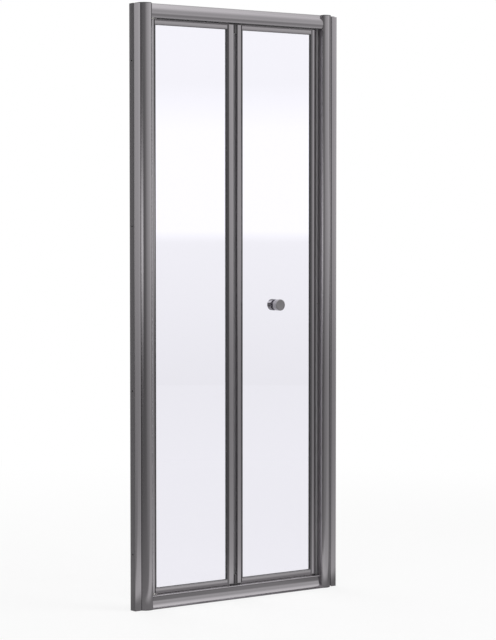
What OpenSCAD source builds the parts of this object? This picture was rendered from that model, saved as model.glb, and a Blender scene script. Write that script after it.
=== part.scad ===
// Framed bifold shower door. Two framed glass leaves fold inwards between two wall posts.
// X runs along the door, the outside face looks to -Y and Z points up.
// The origin lies on the underside of the sill, in the plane that the leaves hang in.

/* [Overall size] */
// Width over both wall channels
door_w = 790; // [700:5:900]
// Height from the underside of the sill to the top of the posts
door_h = 1850; // [1600:10:2000]

/* [Wall channels] */
// Depth of the channel, front to back
channel_depth = 26; // [24:0.5:30]
// Width of the channel's flanges, from the wall to their free edge
channel_reach = 23.8; // [22:0.1:24.2]
// Thickness of the channel's web and flanges
channel_wall = 1.6; // [1.2:0.1:2]
// How much shorter than the posts the channels are
channel_short = 4; // [2:0.5:10]
// Distance from the leaves' plane forward to the channels' front face
channel_front = 26; // [25:0.5:30]
// Diameter of the holes for the wall screws
wall_hole_d = 5.2; // [4:0.1:6]
// Number of wall screws in each channel
wall_hole_count = 4; // [2:1:5]
// Distance between neighbouring wall screws
wall_hole_pitch = 500; // [300:10:520]

/* [Posts] */
// Distance from the wall to a post's inner face
post_inner = 58.5; // [56:0.5:66]
// Radius of the post's rounded front
post_r = 25; // [24.5:0.5:27]
// Distance from the post's inner face to the middle of its rounded front
post_crown_in = 12; // [11:0.5:14]
// How far the rounded front stands before the wall channel
post_proud = 12; // [11:0.5:13]
// Radius of the edge between the rounded front and the post's inner face
post_edge_r = 2.5; // [2.3:0.1:4]
// Distance from the leaves' plane back to the rear face of posts and rails
frame_back = 14; // [13:0.5:18]
// Wall thickness of the posts
post_wall = 1.6; // [1.2:0.1:2]
// Gap between the post's tongue and the wall channel round it
tongue_gap = 0.4; // [0.3:0.05:0.6]
// Thickness of the tongue's legs
tongue_wall = 1.5; // [1.2:0.1:2]
// Distance from the wall to the end of the tongue
tongue_start = 8; // [7:0.5:12]
// Distance from the wall to the side of the post's rear chamber
post_side = 25; // [25:0.5:28]
// Thickness of the plastic caps on the ends of the posts
cap_t = 2; // [1.5:0.5:3]
// How far the adjusting screws come through the tongue
adjust_bite = 1; // [0.5:0.5:3]

/* [Head and sill] */
// Height of the head rail
head_h = 44; // [42:1:50]
// Radius of the head rail's rounded front
head_r = 34; // [32:1:36]
// Height of the middle of the head rail's rounded front above its underside
head_crown_z = 14; // [12:1:16]
// How far the head rail stands before the wall channels
head_proud = 6; // [5:0.5:7]
// Wall thickness of the head rail and the sill
rail_wall = 1.8; // [1.5:0.1:2.2]
// Height of the sill
sill_h = 41; // [39:1:46]
// How far the sill's toe stands before the wall channels
sill_proud = 9; // [8:0.5:10]
// Radius of the hollow in the sill's front
sill_cove_r = 55; // [52:1:60]
// Radius of the rounded bead along the sill's top edge
sill_bead_r = 2.5; // [2:0.1:3]
// How much lower the sill is along its rear edge, so that water runs off
sill_fall = 7; // [4:0.5:10]
// Width of the track in the head rail
head_track_w = 12.6; // [12.4:0.1:14]
// Depth of the track in the head rail
head_track_d = 18; // [16:0.5:20]
// Width of the track in the sill
sill_track_w = 10; // [9.4:0.1:11]
// Depth of the track in the sill
sill_track_d = 19; // [17:0.5:21]
// Inner diameter of the screw ports in the rails
port_d = 3.6; // [3:0.1:4]
// Wall thickness round a screw port
port_wall = 1.8; // [1.5:0.1:2.2]

/* [Leaves] */
// Thickness of the stiles
leaf_t = 14; // [14:0.5:16]
// Gap between the leaves and the head rail
head_gap = 4; // [3.8:0.1:6]
// Gap between the leaves and the sill
sill_gap = 4; // [3.8:0.1:6]
// Gap between the pivot post and the first leaf
pivot_gap = 11.5; // [11.5:0.5:14]
// Gap between the two leaves
fold_gap = 15.5; // [15:0.5:18]
// Gap between the second leaf and the closing post
closing_gap = 15.5; // [14:0.5:18]
// Width of the pivot stile's flat face
pivot_face = 15; // [15:0.5:18]
// Width of the flat face of the first leaf's fold stile
fold_face_a = 18; // [13:0.5:20]
// Width of the flat face of the second leaf's fold stile
fold_face_b = 13; // [13:0.5:18]
// Width of the closing stile's flat face
closing_face = 9.5; // [9:0.5:14]
// Width of the bevel beside each stile's face
bevel_w = 5.5; // [5:0.5:7]
// Half thickness of a stile at the glass side of its bevel
bevel_edge = 4.6; // [4.4:0.1:5]
// Radius of the rounded edges of the stiles
stile_edge_r = 1.5; // [1:0.1:2.5]
// Wall thickness of the stiles
stile_wall = 1.5; // [1.2:0.1:1.8]
// Height of the leaves' rails
leaf_rail_h = 14.5; // [13:0.5:18]
// Thickness of the leaves' rails
leaf_rail_t = 10; // [9.8:0.2:11]
// How far the rails' outer edges lie inside the ends of the stiles
rail_inset = 1.5; // [1:0.5:2.5]
// Wall thickness of the leaves' rails
leaf_rail_wall = 1.4; // [1.2:0.1:1.6]

/* [Glass] */
// Thickness of the glass
glass_t = 5; // [4:0.5:5]
// Depth of the glazing pockets
pocket_d = 7; // [6.5:0.5:7.5]
// How far the glass stops short of a pocket's floor
pocket_play = 0.8; // [0.5:0.1:1.5]
// Thickness of the glazing seal on each side of the glass
seal_t = 1; // [0.8:0.1:1.2]
// Width of the glazing seal that shows beside the stiles
seal_show = 3.5; // [2:0.5:4]
// Width of the glazing seal that shows beside the rails
seal_show_rail = 2; // [1:0.5:3]
// How far the glazing seal's visible lip stands off the glass
seal_lip_t = 1.8; // [1.4:0.1:2]

/* [Pivots and hinges] */
// Diameter of the pivot, hinge, roller and guide pins
pin_d = 5; // [4:0.5:5]
// Radial running clearance of a pin in its bore
pin_play = 0.05; // [0.02:0.01:0.09]
// Distance from the pivot pin to the outer edge of its stile
pivot_inset = 14; // [13:0.5:14]
// Distance from each hinge pin to the outer edge of its stile
fold_inset = 8.5; // [8:0.5:9]
// Distance from the guide pin to the outer edge of the closing stile
guide_inset = 6.5; // [6.5:0.5:7.5]
// How far a hinge pin reaches into its stile
pin_in = 18; // [14:1:22]
// Height of the plugs in the stile ends
plug_h = 24; // [23:1:30]
// Length of the tenon with which a plug enters the leaf's rail
tenon_l = 24; // [20:1:30]
// Gap between parts that turn or slide past each other
run_gap = 0.3; // [0.25:0.05:0.4]
// Thickness of the hinge links' plates
link_t = 3; // [2.5:0.1:3]
// Width of the hinge links' plates
link_w = 12; // [11:0.5:12.4]
// Height of the block between the stiles at each hinge link
link_block_h = 27; // [20:1:35]
// Width of the block between the stiles at each hinge link
link_block_w = 9; // [6:0.5:9]
// Height of the top roller
roller_h = 8; // [6:0.5:10]
// Width of the bevel on the roller's edges
roller_edge = 1; // [0.5:0.1:1.5]
// Length of the guide shoe in the sill's track
shoe_l = 24; // [18:1:30]
// Height of the guide shoe
shoe_h = 13; // [10:0.5:14]
// Length of the pivot blocks along the track
block_l = 30; // [24:1:34]
// Diameter of the collar on a pivot block, round its pin
collar_d = 12; // [10:0.5:12]

/* [Seals and magnets] */
// Thickness of the lips that close the gap between the leaves
fold_lip_t = 2.5; // [1.5:0.1:3]
// How far behind the hinge pins' plane those lips start
fold_lip_back = 0.4; // [0.2:0.1:1]
// How far the seal stands out of the pivot post
pivot_seal_reach = 9; // [7:0.5:9]
// Thickness of the seal on the pivot post
pivot_seal_t = 2.5; // [2:0.1:4]
// How far the magnetic strip stands out of the closing post
post_magnet_w = 7.2; // [6:0.1:7.5]
// Depth of the magnetic strip on the closing post
post_magnet_d = 9; // [7:0.5:10]
// Depth of the magnetic strip on the closing stile
leaf_magnet_d = 7; // [6:0.5:8]
// Thickness of the drip seal's fin
drip_t = 1.6; // [1.2:0.1:2]
// Width of the drip seal's foot
drip_foot_w = 8; // [7:0.5:9]
// Thickness of the drip seal's foot
drip_foot_t = 1.5; // [1:0.1:2]

/* [Knob] */
// Diameter of the knobs
knob_d = 35; // [25:1:45]
// How far each knob stands off the glass
knob_l = 22; // [18:1:26]
// Diameter of the neck between a knob and its washer
knob_neck_d = 27; // [18:1:30]
// Length of that neck
knob_neck_l = 3; // [2:0.5:4]
// Width of the bevel on the knob's edges
knob_bevel = 0.8; // [0.4:0.1:1.5]
// Height of the knobs' axis above the underside of the sill
knob_z = 922; // [800:5:1100]
// Thickness of the washers between the knobs and the glass
washer_t = 0.8; // [0.5:0.1:1.5]
// Diameter of the bolt that joins the knobs
bolt_d = 6; // [5:0.5:8]
// How deep that bolt enters each knob
bolt_in = 12; // [8:1:14]
// Diameter of the hole in the glass
glass_hole_d = 12; // [10:1:16]

/* [Screws] */
// Diameter of the frame and adjusting screws
screw_d = 3.5; // [3:0.1:3.6]
// Diameter of their heads
screw_head_d = 7; // [6:0.5:8]
// Thickness of their heads
screw_head_t = 2.2; // [1.8:0.1:3]
// How far the frame's corner screws reach into the head rail and sill
corner_screw_in = 22; // [15:1:30]
// Diameter of the leaves' corner screws
leaf_screw_d = 3; // [2.5:0.1:3]
// Diameter of the leaves' corner screw heads
leaf_screw_head_d = 5.6; // [5:0.1:6]
// Thickness of the leaves' corner screw heads
leaf_screw_head_t = 1.4; // [1:0.1:1.8]
// Number of adjusting screws that join each post to its wall channel
adjust_count = 3; // [2:1:4]
// Distance of the outer adjusting screws from the ends of the wall channel
adjust_end = 120; // [80:10:160]
// Diameter of the covers over the adjusting screws
cover_d = 12; // [11:0.5:13]
// Height of those covers
cover_h = 3.6; // [3.4:0.1:5]
// Wall thickness of those covers
cover_wall = 0.8; // [0.6:0.1:1.1]

/* [Hidden] */
$fn = 64;
// A cut runs this far past the face that it opens
over = 1;

front_y = -channel_front;
half_w = door_w / 2;
clear_w = door_w - 2 * post_inner;
inner_x = half_w - post_inner;
channel_h = door_h - channel_short;
channel_mid_y = front_y + channel_depth / 2;
post_z = cap_t;
post_h = door_h - 2 * cap_t;
head_z = door_h - head_h;

leaf_z = sill_h + sill_gap;
leaf_top = head_z - head_gap;
leaf_h = leaf_top - leaf_z;
rail_z = leaf_z + rail_inset;
rail_top = leaf_top - rail_inset;
glass_z = rail_z + leaf_rail_h;
glass_top = rail_top - leaf_rail_h;

// Both leaves have the same length between their pins, which keeps the guide pin on the track
pin_span = (clear_w - pivot_gap - fold_gap - closing_gap
            - pivot_inset - 2 * fold_inset - guide_inset) / 2;
leaf_a_x = -inner_x + pivot_gap;
pivot_x = leaf_a_x + pivot_inset;
hinge_a_x = pivot_x + pin_span;
leaf_a_end = hinge_a_x + fold_inset;
leaf_b_x = leaf_a_end + fold_gap;
hinge_b_x = leaf_b_x + fold_inset;
guide_x = hinge_b_x + pin_span;
leaf_b_end = guide_x + guide_inset;
hinge_mid_x = (hinge_a_x + hinge_b_x) / 2;

bore_d = pin_d + 2 * pin_play;
pocket_half = glass_t / 2 + seal_t;
plug_fit = 0.1;
knob_x = (leaf_b_x + fold_face_b + leaf_b_end - closing_face) / 2;

metal = "#77777b";
dark_metal = "#5b5b60";
rubber = "#2b2b2d";
plastic = "#3a3a3d";
steel = "#b9bcc0";

// ---- Shared helpers ----

// Extrudes a section drawn in the Y-Z plane along X, from x0 over a length
module along_x(x0, length) {
    translate([x0, 0, 0]) rotate([90, 0, 90]) linear_extrude(height = length) children();
}

// Extrudes a section drawn in the X-Y plane upwards, from z0 over a height
module upright(z0, height) {
    translate([0, 0, z0]) linear_extrude(height = height) children();
}

// A box between two corners
module block(low, high) {
    translate(low) cube(high - low);
}

// Draws its children as they are and mirrored to the other side of the door
module both_sides() {
    children();
    mirror([1, 0, 0]) children();
}

// A pin or bore along Z
module upright_pin(x, z0, z1, d) {
    translate([x, 0, z0]) cylinder(h = z1 - z0, d = d);
}

// A screw with a domed head. Its shank runs from the origin along +Z, its head lies below
module screw(d, length, head_d, head_t) {
    cylinder(h = length, d = d);
    translate([0, 0, -head_t])
        rotate_extrude()
            intersection() {
                translate([0, head_r_for(head_d, head_t)])
                    circle(r = head_r_for(head_d, head_t));
                square([head_d / 2, head_t]);
            }
}

// Radius of a dome of the given diameter and height
function head_r_for(head_d, head_t) = (head_d * head_d / 4 + head_t * head_t) / (2 * head_t);

// ---- Wall channels ----

function wall_hole_z(i) = channel_h / 2 + (i - (wall_hole_count - 1) / 2) * wall_hole_pitch;
function adjust_z(i) = adjust_end + i * (channel_h - 2 * adjust_end) / (adjust_count - 1);
adjust_x = half_w - (tongue_start + channel_reach) / 2;
channel_back = front_y + channel_depth;

// The channel against the left wall: a web and two flanges
module channel_section() {
    difference() {
        translate([-half_w, front_y]) square([channel_reach, channel_depth]);
        translate([-half_w + channel_wall, front_y + channel_wall])
            square([channel_reach, channel_depth - 2 * channel_wall]);
    }
}

module wall_channel() {
    difference() {
        upright(0, channel_h) channel_section();
        for (i = [0:wall_hole_count - 1])
            translate([-half_w - over, channel_mid_y, wall_hole_z(i)])
                rotate([0, 90, 0]) cylinder(h = channel_wall + 2 * over, d = wall_hole_d);
        for (i = [0:adjust_count - 1])
            translate([-adjust_x, channel_back - channel_wall - over, adjust_z(i)])
                rotate([-90, 0, 0]) cylinder(h = channel_wall + 2 * over, d = screw_d);
    }
}

module wall_channel_left() {
    color(metal) wall_channel();
}

module wall_channel_right() {
    color(metal) mirror([1, 0, 0]) wall_channel();
}

// ---- Posts ----

post_crown_x = -inner_x - post_crown_in;
post_crown_y = front_y - post_proud + post_r;
post_side_x = -half_w + post_side;

// Middle of the post's inner front edge. Its rounding touches the rounded front and the inner face
post_edge_way = [post_crown_in - post_edge_r,
                 -sqrt(pow(post_r - post_edge_r, 2) - pow(post_crown_in - post_edge_r, 2))];
post_edge_mid = [post_crown_x, post_crown_y] + post_edge_way;

// A point on the line from the middle of the rounded front through that of the edge's rounding
function post_ray(far) = [post_crown_x, post_crown_y] + post_edge_way * far / (post_r - post_edge_r);

// The post's outline drawn in by a distance: a rounded front and a square rear chamber
module post_outline(inset) {
    clear = 2 * post_edge_r;
    intersection() {
        union() {
            translate([post_crown_x, post_crown_y]) circle(r = post_r - inset, $fn = 128);
            translate([post_side_x + inset, post_crown_y])
                square([-inner_x - post_side_x - 2 * inset, frame_back - post_crown_y - inset]);
        }
        polygon([[-half_w, frame_back], [-inner_x - inset, frame_back],
                 [-inner_x - inset, post_edge_mid[1]], post_ray(post_r - inset),
                 post_ray(post_r + clear), [-half_w, front_y - post_proud - clear]]);
    }
    translate(post_edge_mid) circle(r = post_edge_r - inset);
}

// The post's section: skin, one inner wall and the tongue that slides in the wall channel
module post_section() {
    difference() {
        post_outline(0);
        post_outline(post_wall);
    }
    intersection() {
        post_outline(0);
        translate([-half_w, channel_back - post_wall]) square([post_inner, post_wall]);
    }
    for (y = [front_y + channel_wall + tongue_gap,
              channel_back - channel_wall - tongue_gap - tongue_wall])
        difference() {
            translate([-half_w + tongue_start, y])
                square([post_crown_x + half_w - tongue_start, tongue_wall]);
            translate([post_crown_x, post_crown_y]) circle(r = post_r - post_wall, $fn = 128);
        }
}

// Places of the corner screws in the head rail and the sill, as [y, z]. Each screw's head
// clears the post's cap and its rear wall
head_clear = 0.5;
corner_screw_gap = 0.2;
port_front_y = -head_track_w / 2 - rail_wall - port_d / 2;
port_rear_y = frame_back - post_wall - screw_head_d / 2 - head_clear;
port_in_z = cap_t + screw_head_d / 2 + 2 * head_clear;
head_ports = [for (y = [port_front_y, port_rear_y]) [y, door_h - port_in_z]];
sill_ports = [for (y = [port_front_y, port_rear_y]) [y, port_in_z]];

module post() {
    difference() {
        upright(post_z, post_h) post_section();
        for (p = concat(head_ports, sill_ports)) {
            translate([-inner_x - post_wall - over, p[0], p[1]])
                rotate([0, 90, 0])
                    cylinder(h = post_wall + 2 * over, d = screw_d + 2 * corner_screw_gap);
            translate([-half_w, p[0], p[1]])
                rotate([0, 90, 0])
                    cylinder(h = post_inner - 2 * post_wall, d = screw_head_d + 2 * head_clear);
        }
        for (i = [0:adjust_count - 1])
            translate([-adjust_x, channel_mid_y, adjust_z(i)])
                rotate([-90, 0, 0]) cylinder(h = channel_depth, d = screw_d);
    }
}

module post_left() {
    color(metal) post();
}

module post_right() {
    color(metal) mirror([1, 0, 0]) post();
}

// The two caps that close the ends of one post
module post_caps() {
    upright(0, cap_t) post_outline(0);
    upright(door_h - cap_t, cap_t) post_outline(0);
}

module post_caps_left() {
    color(plastic) post_caps();
}

module post_caps_right() {
    color(plastic) mirror([1, 0, 0]) post_caps();
}

// Screws from the shower side through the channel's rear flange into the post's tongue
module adjusting_screws() {
    color(steel)
        both_sides()
            for (i = [0:adjust_count - 1])
                translate([-adjust_x, channel_back, adjust_z(i)])
                    rotate([90, 0, 0])
                        screw(screw_d, channel_wall + tongue_gap + tongue_wall + adjust_bite,
                              screw_head_d, screw_head_t);
}

// Snap-on covers over the heads of the adjusting screws
module adjusting_screw_covers() {
    color(plastic)
        both_sides()
            for (i = [0:adjust_count - 1])
                translate([-adjust_x, channel_back, adjust_z(i)])
                    rotate([-90, 0, 0])
                        difference() {
                            cylinder(h = cover_h, d = cover_d);
                            translate([0, 0, -over])
                                cylinder(h = cover_h - cover_wall + over,
                                         d = cover_d - 2 * cover_wall);
                        }
}

// Screws from inside the posts into the ports of the head rail and the sill
module frame_corner_screws() {
    color(steel)
        both_sides()
            for (p = concat(head_ports, sill_ports))
                translate([-inner_x - post_wall, p[0], p[1]])
                    rotate([0, 90, 0])
                        screw(screw_d, post_wall + corner_screw_in, screw_head_d, screw_head_t);
}

// ---- Head rail ----

head_front = front_y - head_proud;
head_arc_y = head_front + head_r;
head_track_half = head_track_w / 2;

// The head rail's outline in the Y-Z plane, drawn in by a distance
module head_outline(inset) {
    intersection() {
        union() {
            translate([head_arc_y, head_z + head_crown_z]) circle(r = head_r - inset, $fn = 192);
            translate([head_arc_y, head_z]) square([frame_back - head_arc_y - inset, head_h]);
        }
        translate([head_front, head_z + inset])
            square([frame_back - head_front, head_h - 2 * inset]);
    }
}

// A screw port's round boss and the rib that ties it to the rail's outer wall at height wall_z
module port_boss(p, wall_z) {
    translate(p) circle(d = port_d + 2 * port_wall);
    translate([p[0] - port_wall / 2, min(p[1], wall_z)]) square([port_wall, abs(wall_z - p[1])]);
}

module head_section() {
    track_top = head_z + head_track_d;
    difference() {
        union() {
            difference() {
                head_outline(0);
                head_outline(rail_wall);
            }
            intersection() {
                head_outline(0);
                union() {
                    translate([-head_track_half - rail_wall, head_z]) square([rail_wall, head_h]);
                    translate([head_track_half, head_z]) square([rail_wall, head_track_d]);
                    translate([-head_track_half, track_top])
                        square([frame_back + head_track_half, rail_wall]);
                    for (p = head_ports) port_boss(p, door_h);
                }
            }
        }
        translate([-head_track_half, head_z - over]) square([head_track_w, head_track_d + over]);
        for (p = head_ports) translate(p) circle(d = port_d);
    }
}

module head_rail() {
    color(metal)
        difference() {
            along_x(-inner_x, 2 * inner_x) head_section();
            upright_pin(block_screw_x, head_z, head_z + block_screw_top, screw_d);
        }
}

// ---- Sill ----

sill_toe = front_y - sill_proud;
sill_lip_y = front_y + sill_bead_r / 2;
sill_cove_z = sill_h - 2 * sill_bead_r;
sill_track_half = sill_track_w / 2;

// The hollow in the sill's front, drawn wider by a distance
module sill_cove(grow) {
    translate([sill_lip_y - sill_cove_r, sill_cove_z]) circle(r = sill_cove_r + grow, $fn = 256);
}

module sill_section() {
    track_floor = sill_h - sill_track_d;
    rear_wall_y = sill_track_half + rail_wall;
    roof_t = 1.5 * rail_wall;
    difference() {
        union() {
            difference() {
                polygon([[sill_toe, 0], [frame_back, 0], [frame_back, sill_h - sill_fall],
                         [sill_track_half + rail_wall, sill_h], [sill_toe, sill_h]]);
                sill_cove(0);
            }
            translate([sill_lip_y + sill_bead_r / 2, sill_h - sill_bead_r])
                circle(r = sill_bead_r);
        }
        difference() {
            translate([sill_toe + rail_wall, rail_wall])
                square([-sill_toe - sill_track_half - 2 * rail_wall, sill_h - 2 * rail_wall]);
            sill_cove(rail_wall);
            port_boss(sill_ports[0], 0);
        }
        difference() {
            translate([-sill_track_half, rail_wall])
                square([frame_back - rail_wall + sill_track_half, track_floor - 2 * rail_wall]);
            for (p = sill_ports) port_boss(p, 0);
        }
        polygon([[rear_wall_y, track_floor], [frame_back - rail_wall, track_floor],
                 [frame_back - rail_wall, sill_h - sill_fall - roof_t + rail_wall],
                 [rear_wall_y, sill_h - roof_t]]);
        translate([-sill_track_half, track_floor]) square([sill_track_w, sill_track_d + over]);
        for (p = sill_ports) translate(p) circle(d = port_d);
    }
}

module sill() {
    color(metal)
        difference() {
            along_x(-inner_x, 2 * inner_x) sill_section();
            upright_pin(block_screw_x, sill_h - block_screw_low, sill_h, screw_d);
        }
}

// ---- Pivot blocks, fixed in the tracks at the pivot post ----

block_screw_x = pivot_x - block_l / 3;
block_screw_bite = 3;
block_screw_top = head_track_d + block_screw_bite;
block_screw_low = sill_track_d + block_screw_bite;
block_screw_head_d = 6;
block_screw_head_t = 1.5;

module pivot_block(body_w, body_z0, body_z1, collar_z0, collar_z1) {
    difference() {
        union() {
            block([pivot_x - block_l / 2, -body_w / 2, body_z0],
                  [pivot_x + block_l / 2, body_w / 2, body_z1]);
            upright_pin(pivot_x, collar_z0, collar_z1, collar_d);
        }
        upright_pin(pivot_x, min(body_z0, collar_z0) - over, max(body_z1, collar_z1) + over, bore_d);
        upright_pin(block_screw_x, min(body_z0, collar_z0) - over, max(body_z1, collar_z1) + over,
                    screw_d);
    }
}

module pivot_block_top() {
    color(plastic)
        pivot_block(head_track_w, head_z, head_z + head_track_d, leaf_top + run_gap, head_z);
}

module pivot_block_bottom() {
    color(plastic)
        pivot_block(sill_track_w, sill_h - sill_track_d, sill_h, sill_h, leaf_z - run_gap);
}

// One screw holds each pivot block in its track
module pivot_block_screws() {
    color(steel) {
        translate([block_screw_x, 0, head_z])
            screw(screw_d, block_screw_top, block_screw_head_d, block_screw_head_t);
        translate([block_screw_x, 0, sill_h]) mirror([0, 0, 1])
            screw(screw_d, block_screw_low, block_screw_head_d, block_screw_head_t);
    }
}

// ---- Seals and magnetic strip on the posts ----

seal_z0 = sill_h + run_gap;
seal_z1 = head_z - run_gap;
pivot_seal_y = -leaf_t / 2;
post_magnet_lead = 1;
post_magnet_y = -post_magnet_d / 2 - post_magnet_lead;
post_magnet_edge = 1.5;
strip_screw_x = inner_x - post_magnet_w / 2;
strip_screw_d = 2.5;
strip_screw_l = 6;
strip_screw_head_d = 4.6;
strip_screw_head_t = 1.6;

// A soft fin with a round tip, from the pivot post towards the first leaf
module pivot_seal() {
    color(rubber)
        upright(seal_z0, seal_z1 - seal_z0) {
            translate([-inner_x, pivot_seal_y])
                square([pivot_seal_reach - pivot_seal_t / 2, pivot_seal_t]);
            translate([-inner_x + pivot_seal_reach - pivot_seal_t / 2,
                       pivot_seal_y + pivot_seal_t / 2])
                circle(d = pivot_seal_t);
        }
}

// The strip that the closing leaf meets, with a rounded front edge
module post_magnet_strip() {
    edge_r = post_magnet_edge;
    strip_x = inner_x - post_magnet_w;
    color(dark_metal)
        difference() {
            upright(seal_z0, seal_z1 - seal_z0) {
                translate([strip_x, post_magnet_y + edge_r])
                    square([post_magnet_w, post_magnet_d - edge_r]);
                translate([strip_x + edge_r, post_magnet_y])
                    square([post_magnet_w - edge_r, 2 * edge_r]);
                translate([strip_x + edge_r, post_magnet_y + edge_r]) circle(r = edge_r);
            }
            translate([strip_screw_x, post_magnet_y - over, knob_z])
                rotate([-90, 0, 0]) cylinder(h = strip_screw_l + over, d = strip_screw_d);
        }
}

// A small bright screw that holds the strip, level with the knobs
module strip_screw() {
    color(steel)
        translate([strip_screw_x, post_magnet_y, knob_z])
            rotate([-90, 0, 0])
                screw(strip_screw_d, strip_screw_l, strip_screw_head_d, strip_screw_head_t);
}

// ---- Stiles ----

// Outline of a stile that starts at x = 0: a flat-faced body and a bevelled glazing pocket
module stile_outline(face_w) {
    corner_r = stile_edge_r;
    total = face_w + bevel_w;
    half = leaf_t / 2;
    translate([corner_r, -half]) square([face_w - corner_r, leaf_t]);
    translate([0, -half + corner_r]) square([corner_r + over, leaf_t - 2 * corner_r]);
    for (side = [-1, 1])
        translate([corner_r, side * (half - corner_r)]) circle(r = corner_r);
    polygon([[face_w - over, -half], [face_w, -half], [total, -bevel_edge],
             [total, bevel_edge], [face_w, half], [face_w - over, half]]);
}

// Width of the hollow chamber between the stile's outer wall and its pocket
function chamber_w(face_w) = face_w + bevel_w - pocket_d - 2 * stile_wall;

module stile_section(face_w) {
    total = face_w + bevel_w;
    difference() {
        stile_outline(face_w);
        translate([stile_wall, -leaf_t / 2 + stile_wall])
            square([chamber_w(face_w), leaf_t - 2 * stile_wall]);
        translate([total - pocket_d, -pocket_half]) square([pocket_d + over, 2 * pocket_half]);
    }
}

// A stile starts at x = 0 and looks towards +X. Its ends are opened for the plugs
module stile(face_w) {
    total = face_w + bevel_w;
    difference() {
        upright(leaf_z, leaf_h) stile_section(face_w);
        for (z = [leaf_z - over, leaf_top - plug_h - plug_fit])
            block([stile_wall, -pocket_half, z],
                  [total - over, pocket_half, z + plug_h + plug_fit + over]);
    }
}

// The plug in one end of a stile: it fills the chamber and the pocket, and its tenon enters the
// rail. It is drawn at the lower end, with its bore at bore_x
module plug(face_w, bore_x, through) {
    total = face_w + bevel_w;
    half = leaf_t / 2 - stile_wall - plug_fit;
    narrow = pocket_half - plug_fit;
    tenon_half = leaf_rail_t / 2 - leaf_rail_wall - plug_fit;
    rail_floor = rail_z + leaf_rail_wall + plug_fit;
    rail_roof = glass_z - pocket_d - leaf_rail_wall - plug_fit;
    difference() {
        union() {
            block([stile_wall + plug_fit, -half, leaf_z],
                  [stile_wall + chamber_w(face_w) - plug_fit, half, leaf_z + plug_h]);
            block([stile_wall + plug_fit, -narrow, leaf_z],
                  [total, narrow, glass_z - pocket_d]);
            block([total - over, -tenon_half, rail_floor],
                  [total + tenon_l, tenon_half, rail_roof]);
            block([stile_wall + plug_fit, -narrow, leaf_z],
                  [min(bore_x + bore_d, total - pocket_d + pocket_play), narrow, leaf_z + plug_h]);
        }
        upright_pin(bore_x, leaf_z - over, leaf_z + plug_h + over, through);
        translate([total + leaf_screw_in, 0, leaf_screw_z])
            rotate([-90, 0, 0]) cylinder(h = leaf_rail_t, d = leaf_screw_d);
    }
}

// Repeats a lower-end piece at the upper end of the leaf
module both_ends() {
    children();
    translate([0, 0, leaf_z + leaf_top]) mirror([0, 0, 1]) children();
}

// Places a piece that was drawn for a stile at x = 0 on the left or the right edge of a leaf
module left_edge(x) {
    translate([x, 0, 0]) children();
}

module right_edge(x) {
    translate([x, 0, 0]) mirror([1, 0, 0]) children();
}

module pivot_stile() {
    color(metal) left_edge(leaf_a_x) stile(pivot_face);
}

module fold_stile_a() {
    color(metal) right_edge(leaf_a_end) stile(fold_face_a);
}

module fold_stile_b() {
    color(metal) left_edge(leaf_b_x) stile(fold_face_b);
}

module closing_stile() {
    color(metal) right_edge(leaf_b_end) stile(closing_face);
}

module pivot_plugs() {
    color(plastic) left_edge(leaf_a_x) both_ends() plug(pivot_face, pivot_inset, pin_d);
}

module fold_plugs_a() {
    color(plastic) right_edge(leaf_a_end) both_ends() plug(fold_face_a, fold_inset, bore_d);
}

module fold_plugs_b() {
    color(plastic) left_edge(leaf_b_x) both_ends() plug(fold_face_b, fold_inset, bore_d);
}

module closing_plugs() {
    color(plastic) right_edge(leaf_b_end) both_ends() plug(closing_face, guide_inset, pin_d);
}

// ---- Leaf rails ----

// The bottom rail's section in the Y-Z plane: a glazing pocket above a hollow chamber
module leaf_rail_section() {
    half = leaf_rail_t / 2;
    pocket_floor = glass_z - pocket_d;
    difference() {
        translate([-half, rail_z]) square([leaf_rail_t, leaf_rail_h]);
        translate([-pocket_half, pocket_floor]) square([2 * pocket_half, pocket_d + over]);
        translate([-half + leaf_rail_wall, rail_z + leaf_rail_wall])
            square([leaf_rail_t - 2 * leaf_rail_wall,
                    pocket_floor - rail_z - 2 * leaf_rail_wall]);
    }
}

// Distance of a leaf's corner screws from the end of its rail
leaf_screw_in = tenon_l / 2;
leaf_screw_z = (rail_z + glass_z - pocket_d) / 2;

// The rail between two stiles, with its holes for the corner screws in the rear face
module leaf_rail(x0, x1) {
    difference() {
        along_x(x0, x1 - x0) leaf_rail_section();
        for (x = [x0 + leaf_screw_in, x1 - leaf_screw_in])
            translate([x, 0, leaf_screw_z]) rotate([-90, 0, 0])
                cylinder(h = leaf_rail_t, d = leaf_screw_d);
    }
}

rail_a_x0 = leaf_a_x + pivot_face + bevel_w;
rail_a_x1 = leaf_a_end - fold_face_a - bevel_w;
rail_b_x0 = leaf_b_x + fold_face_b + bevel_w;
rail_b_x1 = leaf_b_end - closing_face - bevel_w;

module bottom_rail_a() {
    color(metal) leaf_rail(rail_a_x0, rail_a_x1);
}

module top_rail_a() {
    color(metal) translate([0, 0, leaf_z + leaf_top]) mirror([0, 0, 1]) leaf_rail(rail_a_x0, rail_a_x1);
}

module bottom_rail_b() {
    color(metal) leaf_rail(rail_b_x0, rail_b_x1);
}

module top_rail_b() {
    color(metal) translate([0, 0, leaf_z + leaf_top]) mirror([0, 0, 1]) leaf_rail(rail_b_x0, rail_b_x1);
}

// Screws through the rear faces of the rails into the plugs' tenons
module corner_screws(x0, x1) {
    screw_l = leaf_rail_t / 2;
    color(steel)
        both_ends()
            for (x = [x0 + leaf_screw_in, x1 - leaf_screw_in])
                translate([x, leaf_rail_t / 2, leaf_screw_z])
                    rotate([90, 0, 0])
                        screw(leaf_screw_d, screw_l, leaf_screw_head_d, leaf_screw_head_t);
}

module corner_screws_a() {
    corner_screws(rail_a_x0, rail_a_x1);
}

module corner_screws_b() {
    corner_screws(rail_b_x0, rail_b_x1);
}

// ---- Glass and glazing seals ----

embed = pocket_d - pocket_play;

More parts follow.
